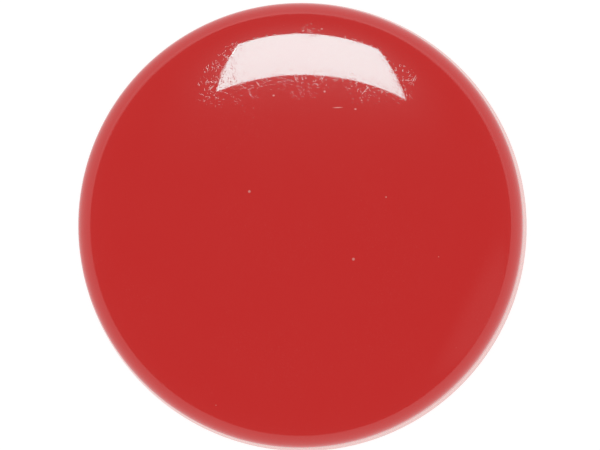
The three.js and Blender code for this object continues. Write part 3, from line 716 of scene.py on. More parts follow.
# Straight slots side by side whose lengths follow a circle
def makeGrilleTree():
    tree, given, result = nodesTree("grilleSlots", {
        "Rows": 5, "Pitch": 3.2 * mm, "Reach": 9.5 * mm, "Slot": 1.5 * mm, "Depth": 6 * mm,
        "Centre": 24.8 * mm,
        "Height": 2.5 * mm, "Material": None,
    })
    last = mathNode(tree, "SUBTRACT", given["Rows"], 1.0)
    half = mathNode(tree, "MULTIPLY", mathNode(tree, "MULTIPLY", last, 0.5), given["Pitch"])
    start = addNode(tree, "ShaderNodeCombineXYZ", {"Y": mathNode(tree, "SUBTRACT", given["Centre"], half),
                                                   "Z": given["Height"]}).outputs[0]
    step = addNode(tree, "ShaderNodeCombineXYZ", {"Y": given["Pitch"]}).outputs[0]
    rows = addNode(tree, "GeometryNodeMeshLine",
                   {"Count": given["Rows"], "Start Location": start, "Offset": step},
                   mode="OFFSET")
    bar = addNode(tree, "GeometryNodeMeshCube", {"Size": (1, 1, 1)})
    spot = addNode(tree, "GeometryNodeInputPosition").outputs[0]
    y = addNode(tree, "ShaderNodeSeparateXYZ", {"Vector": spot}).outputs[1]
    off = mathNode(tree, "SUBTRACT", y, given["Centre"])
    span = mathNode(tree, "SQRT", mathNode(tree, "SUBTRACT", mathNode(tree, "POWER", given["Reach"], 2.0),
                                           mathNode(tree, "POWER", mathNode(tree, "ABSOLUTE", off), 2.0)))
    size = addNode(tree, "ShaderNodeCombineXYZ",
                   {"X": mathNode(tree, "MULTIPLY", span, 2.0), "Y": given["Slot"],
                                                  "Z": given["Depth"]}).outputs[0]
    stood = addNode(tree, "GeometryNodeInstanceOnPoints",
                    {"Points": rows.outputs[0], "Instance": bar.outputs[0],
                                                           "Scale": size})
    finishTree(tree, given, result, stood.outputs[0])
    return tree


coilTree = makeCoilTree()
ringTree = makeRingTree()
leadTree = makeLeadTree()
grilleTree = makeGrilleTree()


def ringOf(name, piece, circle, copies, first, material):
    made = runTree(ringTree, name, {"Piece": piece, "Circle": circle, "Copies": copies, "First": first,
                                    "Material": material})
    bpy.data.objects.remove(piece)
    return smooth(made)


print("trees made")


# The cap's dome is a quarter ellipse and its inside a smaller one, turned round the axis
def makeDomeTree():
    tree, given, result = nodesTree("domeCap", {
        "Radius": 44.5 * mm, "Rise": 14.6 * mm, "Top": 48 * mm, "Skirt": 6 * mm, "Wall": 2.2 * mm,
        "Edge": 0.5 * mm, "Sides": 192, "Steps": 72, "Material": None,
    })
    domeZ = mathNode(tree, "SUBTRACT", given["Top"], given["Rise"])
    edgeZ = mathNode(tree, "SUBTRACT", domeZ, given["Skirt"])
    inner = mathNode(tree, "SUBTRACT", given["Radius"], given["Wall"])
    innerRise = mathNode(tree, "SUBTRACT", given["Rise"], given["Wall"])

    def arc(start, sweep, wide, tall, r, z, steps):
        made = addNode(tree, "GeometryNodeCurveArc", {
            "Resolution": steps, "Radius": 1.0, "Start Angle": math.radians(start),
            "Sweep Angle": math.radians(sweep),
        }, mode="RADIUS").outputs[0]
        size = addNode(tree, "ShaderNodeCombineXYZ", {"X": wide, "Y": tall, "Z": 1.0}).outputs[0]
        place = addNode(tree, "ShaderNodeCombineXYZ", {"X": r, "Y": z}).outputs[0]
        return addNode(tree, "GeometryNodeTransform",
                       {"Geometry": made, "Translation": place, "Scale": size})

    def line(r0, z0, r1, z1):
        ends = [addNode(tree, "ShaderNodeCombineXYZ", {"X": r, "Y": z}).outputs[0] for r,
                z in ((r0, z0), (r1, z1))]
        return addNode(tree, "GeometryNodeCurvePrimitiveLine", {"Start": ends[0], "End": ends[1]})

    edge = given["Edge"]
    outerEdge = mathNode(tree, "SUBTRACT", given["Radius"], edge)
    innerEdge = mathNode(tree, "ADD", inner, edge)
    lip = mathNode(tree, "ADD", edgeZ, edge)
    joined = addNode(tree, "GeometryNodeJoinGeometry")
    strips = (
        arc(90, -90, given["Radius"], given["Rise"], 0.0, domeZ, given["Steps"]),
        line(given["Radius"], domeZ, given["Radius"], lip),
        arc(0, -90, edge, edge, outerEdge, lip, 6),
        line(outerEdge, edgeZ, innerEdge, edgeZ),
        arc(-90, -90, edge, edge, innerEdge, lip, 6),
        line(inner, lip, inner, domeZ),
        arc(0, 90, inner, innerRise, 0.0, domeZ, 32),
    )
    for strip in reversed(strips):
        tree.links.new(strip.outputs[0], joined.inputs[0])
    # A sweep round a very small circle turns the outline's second coordinate upside down
    outline = addNode(tree, "GeometryNodeTransform", {"Geometry": joined.outputs[0], "Scale": (1, -1, 1)})
    axis = addNode(tree, "GeometryNodeCurvePrimitiveCircle", {"Resolution": given["Sides"], "Radius": 1e-6},
                   mode="RADIUS")
    swept = addNode(tree, "GeometryNodeCurveToMesh", {"Curve": axis.outputs[0],
                                                      "Profile Curve": outline.outputs[0]})
    whole = addNode(tree, "GeometryNodeMergeByDistance", {"Geometry": swept.outputs[0], "Distance": 4e-6})
    finishTree(tree, given, result, whole.outputs[0])
    return tree


capSizes = {"rise": 14.6 * mm, "skirt": 6 * mm, "wall": 2.2 * mm, "edge": 0.5 * mm}
capLow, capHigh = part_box("button_cap")
domeTree = makeDomeTree()
pushCap = runTree(domeTree, "pushCap", {
    "Radius": capHigh.x, "Rise": capSizes["rise"], "Top": capHigh.z, "Skirt": capSizes["skirt"],
    "Wall": capSizes["wall"], "Edge": capSizes["edge"], "Sides": 192, "Steps": 72, "Material": glossRed,
})
smooth(pushCap)

baseSizes = {
    "overhang": 0.3 * mm, "draft": 1.2 * mm, "shoulder": 1.3 * mm, "collarGap": 1.1 * mm,
    "collarWall": 1.5 * mm,
    "collarHeight": 5 * mm, "deck": 2 * mm, "wall": 3 * mm, "step": 1 * mm, "hole": 6.2 * mm,
    "coverTop": 3.8 * mm,
}
baseLow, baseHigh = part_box("base_shell")


def baseOutline():
    s = baseSizes
    deckZ = baseHigh.z - s["collarHeight"]
    underZ = deckZ - s["deck"]
    top = capHigh.x + s["overhang"]
    inner = top - s["wall"]
    seat = inner + s["step"]
    collar = capHigh.x - capSizes["wall"] - s["collarGap"]
    r = s["shoulder"]
    foot = top + s["draft"]
    small = 0.5 * mm
    return [
        (seat, baseLow.z),
        *arcPoints(foot - small, baseLow.z + small, small, -90, -4, 4),
        *arcPoints(top - r, deckZ - r, r, 2, 90, 10),
        *arcPoints(collar + 0.4 * mm, deckZ + 0.4 * mm, 0.4 * mm, -90, -180, 3),
        *arcPoints(collar - 0.3 * mm, baseHigh.z - 0.3 * mm, 0.3 * mm, 0, 90, 3),
        *arcPoints(collar - s["collarWall"] + 0.3 * mm, baseHigh.z - 0.3 * mm, 0.3 * mm, 90, 180, 3),
        (collar - s["collarWall"], deckZ),
        (s["hole"], deckZ),
        (s["hole"], underZ),
        (inner, underZ),
        (inner, s["coverTop"]),
        (seat, s["coverTop"]),
    ]


# What hangs from the cap's inside: guide legs, spring seats, ribs and the centre post

underCap = {"post": 3.2 * mm, "legCircle": 36.5 * mm, "legThickness": 2 * mm, "legWidth": 8 * mm,
            "hook": 1.5 * mm,
            "hookHeight": 2 * mm, "rib": 1.4 * mm, "springCircle": 24 * mm, "seat": 4.6 * mm,
            "pin": 2.4 * mm}


def domeMiddle(r):
    rise = capSizes["rise"] - capSizes["wall"] / 2
    wide = capHigh.x - capSizes["wall"] / 2
    return capHigh.z - capSizes["rise"] + rise * math.sqrt(max(0.0, 1 - (r / wide) ** 2))


# Everything higher than the middle of the dome's wall is brought down into it
def upToDome(piece):
    for vert in piece.data.vertices:
        vert.co.z = min(vert.co.z, domeMiddle(math.hypot(vert.co.x, vert.co.y)))
    return piece


def bossOutline(radius, foot, top, edge):
    return [(0, foot), *arcPoints(radius - edge, foot + edge, edge, -90, 0, 3), (radius, top), (0, top)]


def makeUnderCap():
    u = underCap
    parts = []
    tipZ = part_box("switch_plunger")[1].z + 2.8 * mm
    parts.append(upToDome(turned("post", bossOutline(u["post"], tipZ, 60 * mm, 0.5 * mm), sides=40)))
    legEnd = capLow.z
    inner = u["legCircle"] - u["legThickness"] / 2
    outer = u["legCircle"] + u["legThickness"] / 2
    hookZ = legEnd + u["hookHeight"]
    outline = [(inner, legEnd), (outer - 0.2 * mm, legEnd), (outer + u["hook"], hookZ - 0.7 * mm),
               (outer + u["hook"], hookZ), (outer, hookZ), (outer, domeMiddle(outer)),
               (inner, domeMiddle(inner))]
    for turn in (90, 210, 330):
        leg = plate("leg", outline, -u["legWidth"] / 2, u["legWidth"] / 2, 0.2 * mm)
        stand = Matrix(((1, 0, 0, 0), (0, 0, -1, 0), (0, 1, 0, 0), (0, 0, 0, 1)))
        parts.append(turnPiece(leg, Matrix.Rotation(math.radians(turn), 4, "Z") @ stand))
    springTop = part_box("return_spring_1")[1].z
    for turn in (30, 150, 270):
        x, y = polar(u["springCircle"], turn)
        seat = turned("seat", bossOutline(u["seat"], springTop + 0.1 * mm, 60 * mm, 0.4 * mm), (x, y, 0),
                      40)
        pin = turned("pin", bossOutline(u["pin"], springTop - 4 * mm, 60 * mm, 0.7 * mm), (x, y, 0), 32)
        parts += [upToDome(seat), upToDome(pin)]
        for i in range(8):
            low = 2 * mm + (u["springCircle"] - 2 * mm) * i / 8
            high = 2 * mm + (u["springCircle"] - 2 * mm) * (i + 1) / 8
            rib = block("rib", (low, -u["rib"] / 2, 40.7 * mm), (high + 0.01 * mm, u["rib"] / 2, 60 * mm))
            parts.append(upToDome(turnPiece(rib, Matrix.Rotation(math.radians(turn), 4, "Z"))))
    for part in parts:
        part.data.materials.clear()
        part.data.materials.append(glossRed)
    return parts


# Base: slots for the cap's legs, screw bosses, spring pins and board bosses join the turned shell

def annulus(name, outer, inner, z0, z1, at, edge=0.2 * mm, sides=40, material=None):
    outline = [(inner, z0), *arcPoints(outer - edge, z0 + edge, edge, -90, 0, 2),
               *arcPoints(outer - edge, z1 - edge, edge, 0, 90, 2), (inner, z1)]
    return turned(name, outline, (at[0], at[1], 0), sides, material)


deckZ = baseHigh.z - baseSizes["collarHeight"]
deckUnderZ = deckZ - baseSizes["deck"]
boardLow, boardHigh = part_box("circuit_board")
screwSpots = [middle(f"case_screw_{i}") for i in (1, 2, 3)]
boardSpots = [middle(f"board_screw_{i}") for i in (1, 2)]
springSpots = [polar(underCap["springCircle"], turn) for turn in (30, 150, 270)]


def makeBaseShell():
    shell = turned("baseShell", baseOutline(), sides=192, material=glossRedBase)
    cutters = []
    for turn in (90, 210, 330):
        slot = block("slot", (34 * mm, -4.5 * mm, deckUnderZ - mm), (38 * mm, 4.5 * mm, deckZ + mm),
                     0.4 * mm)
        cutters.append(turnPiece(slot, Matrix.Rotation(math.radians(turn), 4, "Z")))
    shell = combine(shell, cutters)
    parts = [shell]
    for spot in screwSpots:
        parts.append(annulus("boss", 3.4 * mm, 1.6 * mm, 8.3 * mm, deckUnderZ + 0.2 * mm, spot))
        turn = math.atan2(spot.y, spot.x)
        web = block("web", (spot.xy.length + 2 * mm, -0.7 * mm, 10 * mm),
                    (baseHigh.x - baseSizes["draft"] - 2.6 * mm, 0.7 * mm, deckUnderZ + 0.2 * mm),
                    0.15 * mm)
        parts.append(turnPiece(web, Matrix.Rotation(turn, 4, "Z")))
    for spot in springSpots:
        pin = turned("pin", [(0, deckZ - 0.5 * mm), (2.4 * mm, deckZ - 0.5 * mm),
                             *arcPoints(1.9 * mm, deckZ + 2.5 * mm, 0.5 * mm, 0, 90, 4),
                             (0, deckZ + 3 * mm)],
                     (*spot, 0), 32)
        parts.append(pin)
    cornerX, cornerY = boardSpots[0].x, boardSpots[0].y
    for spot in ((cornerX, cornerY), (-cornerX, -cornerY), (-cornerX, cornerY), (cornerX, -cornerY)):
        parts.append(annulus("boardBoss", 2.4 * mm, 1.2 * mm, boardHigh.z + 0.2 * mm,
                             deckUnderZ + 0.2 * mm, spot))
    for part in parts[1:]:
        part.data.materials.append(glossRedBase)
    return joinPieces("baseShell", parts)


place(makeBaseShell(), "root", "red_plastic", "base_shell")
place(joinPieces("pushCap", [pushCap, *makeUnderCap()]), "cap", "red_plastic", "button_cap")
print("cap and base made")

# Lower housing with the cell tray, speaker ring and grille

coverLow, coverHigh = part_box("bottom_cover")
doorLow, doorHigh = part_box("battery_door")
speakerAt = middle("speaker_frame")
cellLow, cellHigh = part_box("battery_1")
trayY = (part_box("battery_2")[0].y + cellHigh.y) / 2
cellZ = (cellLow.z + cellHigh.z) / 2
doorSpots = [middle(f"door_screw_{i}") for i in (1, 2)]
trayX = 25.25 * mm
trayHalf = 10.9 * mm
coverSizes = {"plate": 2 * mm, "trayWall": 1.8 * mm, "pillar": 3.9 * mm, "pillarTop": 8 * mm,
              "ring": 1.3 * mm,
              "grille": {"rows": 5, "pitch": 3.2 * mm, "slot": 1.5 * mm, "reach": 9.5 * mm}}


def doorShape(lap, ear):
    x, y, earX = trayX + lap, trayHalf + lap, doorHigh.x - 3.6 * mm
    points = []
    for side, first in ((1, -90), (-1, 90)):
        points += [(side * (x - mm), trayY - side * y), (side * x, trayY - side * (y - mm)),
                   (side * x, trayY - side * ear)]
        for i in range(13):
            t = math.radians(first + 180 * i / 12)
            points.append((side * earX + ear * math.cos(t), trayY + ear * math.sin(t)))
        points += [(side * x, trayY + side * ear), (side * x, trayY + side * (y - mm)),
                   (side * (x - mm), trayY + side * y)]
    return points


def makeBottomCover():
    s = coverSizes
    bottom, top = coverLow.z, coverLow.z + s["plate"]
    radius = coverHigh.x
    edge = 0.3 * mm
    disc = turned("bottomCover", [(0, bottom), *arcPoints(radius - edge, bottom + edge, edge, -90, 0, 3),
                                  *arcPoints(radius - edge, top - edge, edge, 0, 90, 3), (0, top)],
                  sides=160, material=darkPlastic)
    wall = s["trayWall"]
    tray = block("tray", (-trayX - wall, trayY - trayHalf - wall, bottom + mm),
                 (trayX + wall, trayY + trayHalf + wall, coverHigh.z), 0.6 * mm)
    disc = combine(disc, [tray], "UNION")
    cutters = [
        block("cavity", (-trayX, trayY - trayHalf, bottom - 2 * mm),
              (trayX, trayY + trayHalf, coverHigh.z - wall), 0.5 * mm),
        plate("rebate", doorShape(1.15 * mm, 3.85 * mm), bottom - mm, bottom + 1.9 * mm),
        runTree(grilleTree, "grille", {
            "Rows": s["grille"]["rows"], "Pitch": s["grille"]["pitch"], "Reach": s["grille"]["reach"],
            "Slot": s["grille"]["slot"], "Centre": speakerAt.y, "Material": darkPlastic,
        }),
    ]
    for i in (1, 2, 3, 4):
        spot = middle(f"foot_{i}")
        cutters.append(turned("pocket", [(0, bottom - mm), (4 * mm, bottom - mm), (4 * mm, 2.3 * mm),
                                         (0, 2.3 * mm)],
                              (spot.x, spot.y, 0), 40))
    for spot in screwSpots:
        cutters.append(turned("sink", [(0, bottom - mm), (3.1 * mm, bottom - mm), (3.1 * mm, top + mm),
                                       (0, top + mm)],
                              (spot.x, spot.y, 0), 40))
    for row in (0.5, -0.5):
        y = trayY + row * 10.7 * mm
        cutters.append(block("tabSlot", (-trayX - 3 * mm, y - 1.8 * mm, cellZ - 1.8 * mm),
                             (-trayX + mm, y + 1.8 * mm, cellZ + 1.8 * mm), 0.2 * mm))
    body = combine(disc, cutters)
    parts = [body]
    ring = 11.8 * mm
    parts.append(annulus("speakerRing", ring + s["ring"], ring, top - 0.2 * mm, 7.5 * mm, speakerAt,
                         0.25 * mm, 96))
    seatZ = 5 * mm
    for spot in screwSpots:
        outer = s["pillar"]
        tube = [(3.1 * mm, bottom + 0.3 * mm), (outer, bottom + 0.3 * mm),
                *arcPoints(outer - 0.3 * mm, s["pillarTop"] - 0.3 * mm, 0.3 * mm, 0, 90, 3),
                (1.6 * mm, s["pillarTop"]), (1.6 * mm, seatZ), (3.1 * mm, seatZ)]
        parts.append(turned("pillar", tube, (spot.x, spot.y, 0), 48))
    for spot in doorSpots:
        parts.append(annulus("doorPillar", 3 * mm, 1.2 * mm, bottom + 1.85 * mm, cellZ + 2 * mm, spot,
                             0.25 * mm))
    # Stiffening ribs that run from the tray to the rim
    for turn in (20, 160, 200, 340):
        t = math.radians(turn)
        rib = block("rib", (31.5 * mm, -0.6 * mm, top - 0.2 * mm), (39.5 * mm, 0.6 * mm, top + 1.6 * mm),
                    0.2 * mm)
        parts.append(turnPiece(rib, Matrix.Rotation(t, 4, "Z")))
    for part in parts[1:]:
        part.data.materials.clear()
        part.data.materials.append(darkPlastic)
    return joinPieces("bottomCover", parts)


place(makeBottomCover(), "root", "dark_plastic", "bottom_cover")
print("bottom cover made")

doorSizes = {"grips": 3, "gripPitch": 2.4 * mm, "gripLength": 16 * mm, "gripDepth": 0.4 * mm,
             "sink": 2.3 * mm}


def makeDoor():
    s = doorSizes
    slab = plate("batteryDoor", doorShape(0.9 * mm, 3.6 * mm), doorLow.z, doorHigh.z, 0.2 * mm, darkPlastic)
    cutters = []
    for i in range(s["grips"]):
        y = trayY + (i - (s["grips"] - 1) / 2) * s["gripPitch"]
        cutters.append(block("grip", (-s["gripLength"] / 2, y - 0.5 * mm, doorLow.z - mm),
                             (s["gripLength"] / 2, y + 0.5 * mm, doorLow.z + s["gripDepth"]), 0.2 * mm))
    for spot in doorSpots:
        z = doorLow.z
        hole = [(0, z - mm), (s["sink"], z - mm), (s["sink"], z + 0.9 * mm), (1.2 * mm, z + 0.9 * mm),
                (1.2 * mm, z + 3 * mm), (0, z + 3 * mm)]
        cutters.append(turned("hole", hole, (spot.x, spot.y, 0), 40))
    return combine(slab, cutters)


place(makeDoor(), "door", "dark_plastic", "battery_door")

# Feet: four rubber discs with a worn rim and two rings moulded into their soles

footLow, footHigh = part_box("foot_1")
footSizes = {"radius": 3.8 * mm, "groove": 0.2 * mm, "edge": 0.5 * mm}


def makeFeet():
    s = footSizes
    r, e, g = s["radius"], s["edge"], s["groove"]
    sole = [(0, 0), (1.1 * mm, 0), (1.25 * mm, g), (1.65 * mm, g), (1.8 * mm, 0), (2.4 * mm, 0),
            (2.5 * mm, g),
            (2.8 * mm, g), (2.9 * mm, 0), *arcPoints(r - e, e, e, -90, 0, 5),
            *arcPoints(r - 0.15 * mm, footHigh.z - 0.15 * mm, 0.15 * mm, 0, 90, 2), (0, footHigh.z)]
    foot = turned("foot", sole, sides=64)
    centre = middle("foot_1")
    return ringOf("feet", foot, centre.xy.length, 4, 45.0, rubber)


place(makeFeet(), "root", "rubber", "foot_1", "foot_2", "foot_3", "foot_4")

# Screws: a pan head with a cross recess and a thread round the shank

def makeScrew(name, headRadius, headHeight, shank, length, pitch, deep=0.45):
    outline = [
        (0, -headHeight), (headRadius * 0.6, -headHeight), (headRadius * 0.88, -headHeight * 0.8),
        (headRadius, -headHeight * 0.45), (headRadius, -0.1 * mm), (headRadius - 0.1 * mm, 0),
        (shank * 0.8, 0), (shank * 0.8, length - shank), (0.12 * mm, length - 0.05 * mm), (0, length),
    ]
    head = turned(name, outline, sides=48)
    arm, half = headRadius * 0.55, headRadius * 0.12
    cross = [block("arm", (-arm, -half, -headHeight - mm), (arm, half, -headHeight * deep)),
             block("arm", (-half, -arm, -headHeight - mm), (half, arm, -headHeight * deep))]
    head = combine(head, cross)
    turns = (length - shank) / pitch
    thread = runTree(coilTree, "thread", {
        "Start Radius": shank * 0.8, "End Radius": shank * 0.8, "Length": length - shank - 3 * 0.2 * shank,
        "Turns": turns, "Wire": shank * 0.2, "Closed Turns": 0.0, "Steps": int(turns * 24), "Sides": 6,
        "Circle": 0.0, "Copies": 3, "First": 0.0, "Height": 0.0, "Material": steel,
    })
    return joinPieces(name, [head, thread])


caseSizes = {"head": 2.6 * mm, "headHeight": 1.8 * mm, "shank": 1.4 * mm, "length": 10 * mm,
             "pitch": 1.3 * mm}
caseScrew = makeScrew("caseScrew", caseSizes["head"], caseSizes["headHeight"], caseSizes["shank"],
                      caseSizes["length"], caseSizes["pitch"])
moved(caseScrew, z=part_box("case_screw_1")[0].z + caseSizes["headHeight"])
place(ringOf("caseScrews", caseScrew, screwSpots[0].xy.length, 3, 30.0, steel), "root", "steel",
      "case_screw_1", "case_screw_2", "case_screw_3")

pairSizes = {"head": 2 * mm, "shank": 1 * mm, "pitch": 0.9 * mm, "doorHead": 0.8 * mm,
             "boardHead": 1.2 * mm}
for pairNodes, body, headHeight in (
    (("door_screw_1", "door_screw_2"), "door", pairSizes["doorHead"]),
    (("board_screw_1", "board_screw_2"), "root", pairSizes["boardHead"]),
):
    low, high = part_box(pairNodes[0])
    single = makeScrew("screw", pairSizes["head"], headHeight, pairSizes["shank"],
                       high.z - low.z - headHeight,
                       pairSizes["pitch"])
    pair = []
    for node in pairNodes:
        spot = middle(node)
        pair.append(copyOf(single, Matrix.Translation((spot.x, spot.y, low.z + headHeight))))
    bpy.data.objects.remove(single)
    for one in pair:
        one.data.materials.clear()
        one.data.materials.append(steel)
    place(joinPieces("doorScrews" if body == "door" else "boardScrews", pair), body, "steel", *pairNodes)
print("door, feet and screws made")

# Return springs: closed ends, one wire each, on a ring of three

springLow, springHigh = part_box("return_spring_1")
springSizes = {"mean": 3.4 * mm, "wire": 0.45 * mm, "turns": 5.5}
returnSprings = runTree(coilTree, "returnSprings", {
    "Start Radius": springSizes["mean"], "End Radius": springSizes["mean"],
    "Length": springHigh.z - springLow.z - 2 * springSizes["wire"], "Turns": springSizes["turns"],
    "Wire": springSizes["wire"], "Closed Turns": 0.75, "Steps": 330, "Sides": 16, "Circle": 24 * mm,
    "Copies": 3, "First": 30.0, "Height": springLow.z, "Material": springSteel,
})
smooth(returnSprings)
place(returnSprings, "root", "steel", "return_spring_1", "return_spring_2", "return_spring_3")
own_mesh(returnSprings)

# Two cells, head to tail, with their contacts

sleeveBlue = (0.018, 0.075, 0.20)
copperBand = (0.42, 0.17, 0.065)


def alongX(direction):
    return Matrix(((0, 0, direction, 0), (0, 1, 0, 0), (-direction, 0, 0, 0), (0, 0, 0, 1)))


def makeCell(node, material, direction):
    low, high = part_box(node)
    radius = (high.y - low.y) / 2
    length = high.x - low.x
    can = [(0, 0.15 * mm), (radius * 0.5, 0.15 * mm), (radius * 0.56, 0), (radius - 0.9 * mm, 0),
           *arcPoints(radius - 0.7 * mm, 0.5 * mm, 0.5 * mm, -90, 0, 5), (radius - 0.2 * mm, 0.9 * mm)]
    skirt = [(radius - 0.2 * mm, 0.9 * mm), *arcPoints(radius - 0.2 * mm, 1.1 * mm, 0.2 * mm, -90, 0, 3),
             *arcPoints(radius - 0.5 * mm, length - 1.6 * mm, 0.5 * mm, 0, 90, 5),
             (radius - 1.2 * mm, length - 1.15 * mm)]
    cap = [(radius - 1.3 * mm, length - 1.3 * mm), (2.5 * mm, length - 1.3 * mm),
           (2.3 * mm, length - 1.0 * mm),
           *arcPoints(1.6 * mm, length - 0.3 * mm, 0.3 * mm, 0, 90, 4), (0, length)]
    body = turned("sleeve", [(0, 0.8 * mm), *skirt, (0, length - 1.15 * mm)], sides=72, material=material)
    base = turned("can", [*can, (0, 0.9 * mm)], sides=72, material=nickel)
    knob = turned("knob", [(0, length - 1.6 * mm), (radius - 1.3 * mm, length - 1.6 * mm), *cap], sides=72,
                  material=nickel)
    cell = joinPieces(node.replace("battery_", "cell"), [body, base, knob])
    turnPiece(cell, alongX(direction))
    start = low.x if direction > 0 else high.x
    return turnPiece(cell, Matrix.Translation((start, (low.y + high.y) / 2, (low.z + high.z) / 2)))


for node in ("battery_1", "battery_2"):
    low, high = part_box(node)
    coilLow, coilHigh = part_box(node.replace("battery_", "battery_spring_"))
    direction = 1 if (coilLow.x + coilHigh.x) < (low.x + high.x) else -1
    tip = high.x if direction > 0 else low.x
    band = sorted((tip - direction * 13 * mm, tip - direction * 1.2 * mm))
    stripe = sorted((tip - direction * 14.5 * mm, tip - direction * 14 * mm))
    sleeve = makeBanded(f"sleeve{node[-1]}", sleeveBlue, 0,
                        [(*band, copperBand), (*stripe, (0.6, 0.6, 0.58))], 0.3)
    place(makeCell(node, sleeve, direction), "root", "sleeve", node)
    coil = runTree(coilTree, "cellSpring", {
        "Start Radius": 3.3 * mm, "End Radius": 1.9 * mm, "Length": coilHigh.x - coilLow.x - 0.7 * mm,
        "Turns": 3.5,
        "Wire": 0.35 * mm, "Closed Turns": 0.6, "Steps": 200, "Sides": 14, "Circle": 0.0, "Copies": 3,
        "First": 0.0,
        "Height": 0.0, "Material": nickel,
    })
    turnPiece(smooth(coil), alongX(direction))
    start = coilLow.x if direction > 0 else coilHigh.x
    turnPiece(coil, Matrix.Translation((start, (coilLow.y + coilHigh.y) / 2, (coilLow.z + coilHigh.z) / 2)))
    coil.name = f"cellSpring{node[-1]}"
    place(coil, "root", "nickel", node.replace("battery_", "battery_spring_"))

contactSizes = {"half": 4 * mm, "sheet": 0.5 * mm, "tabHalf": 1.3 * mm, "edge": 0.1 * mm}
for node in ("battery_contact_positive", "battery_contact_negative"):
    low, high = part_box(node)
    y, z, half = (low.y + high.y) / 2, (low.z + high.z) / 2, contactSizes["half"]
    sheet = block("sheet", (high.x - contactSizes["sheet"], y - half, z - half),
                  (high.x, y + half, z + half), 0.1 * mm, nickel)
    tab = block("tab", (low.x, y - 1.3 * mm, z - 0.3 * mm),
                (high.x - 0.05 * mm, y + 1.3 * mm, z + 0.3 * mm),
                0.1 * mm, nickel)
    bump = turned("bump", [(0, -0.1 * mm), (1.6 * mm, -0.1 * mm), (1.2 * mm, 0.12 * mm), (0, 0.17 * mm)],
                  sides=32,
                  material=nickel)
    turnPiece(bump, Matrix.Translation((high.x, y, z)) @ alongX(1))
    bead = turned("bead", [(0, 0), (1 * mm, 0), *arcPoints(0, 0, 1 * mm, 0, 90, 6)[1:-1], (0, 0.6 * mm)],
                  sides=24,
                  material=tin)
    turnPiece(bead, Matrix.Translation((low.x + 0.9 * mm, y, z + 0.2 * mm)) @ Matrix.Diagonal((0.8, 1, 0.5,
                                                                                               1)))
    place(joinPieces("contact" + node[16:].capitalize(), [sheet, tab, bump, bead]), "root", "nickel", node)

low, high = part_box("battery_contact_bridge")
bridge = block("contactBridge", low, high, 0.12 * mm, nickel)
notch = block("notch", (low.x - mm, trayY - 1.2 * mm, high.z - 2.5 * mm),
              (high.x + mm, trayY + 1.2 * mm, high.z + mm),
              0.3 * mm)
bridge = combine(bridge, [notch])
place(bridge, "root", "nickel", "battery_contact_bridge")
print("springs, cells and contacts made")

# Sound board

boardSizes = {"track": 0.55 * mm, "copper": 0.035 * mm, "pad": 1.1 * mm}
switchLow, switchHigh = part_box("switch_body")
chipAt = middle("sound_chip")
resistorAt = middle("resistor")
canAt = middle("capacitor")
transistorAt = middle("transistor")


def pads(spots, z, up):
    made = []
    for x, y in spots:
        dome = turned("pad", [(0, 0), (boardSizes["pad"], 0), (boardSizes["pad"] * 0.85, 0.12 * mm),
                              (0.35 * mm, 0.35 * mm), (0, 0.42 * mm)], sides=24, material=tin)
        flip = Matrix.Rotation(0 if up else math.pi, 4, "X")
        made.append(turnPiece(dome, Matrix.Translation((x, y, z)) @ flip))
    return made


def track(points, z):
    made = []
    half = boardSizes["track"] / 2
    for (x0, y0), (x1, y1) in zip(points, points[1:]):
        length = math.hypot(x1 - x0, y1 - y0)
        bar = block("bar", (-half, -half, z), (length + half, half, z + boardSizes["copper"]),
                    material=trackGreen)
        made.append(moved(bar, x0, y0, 0, math.atan2(y1 - y0, x1 - x0)))
    return made


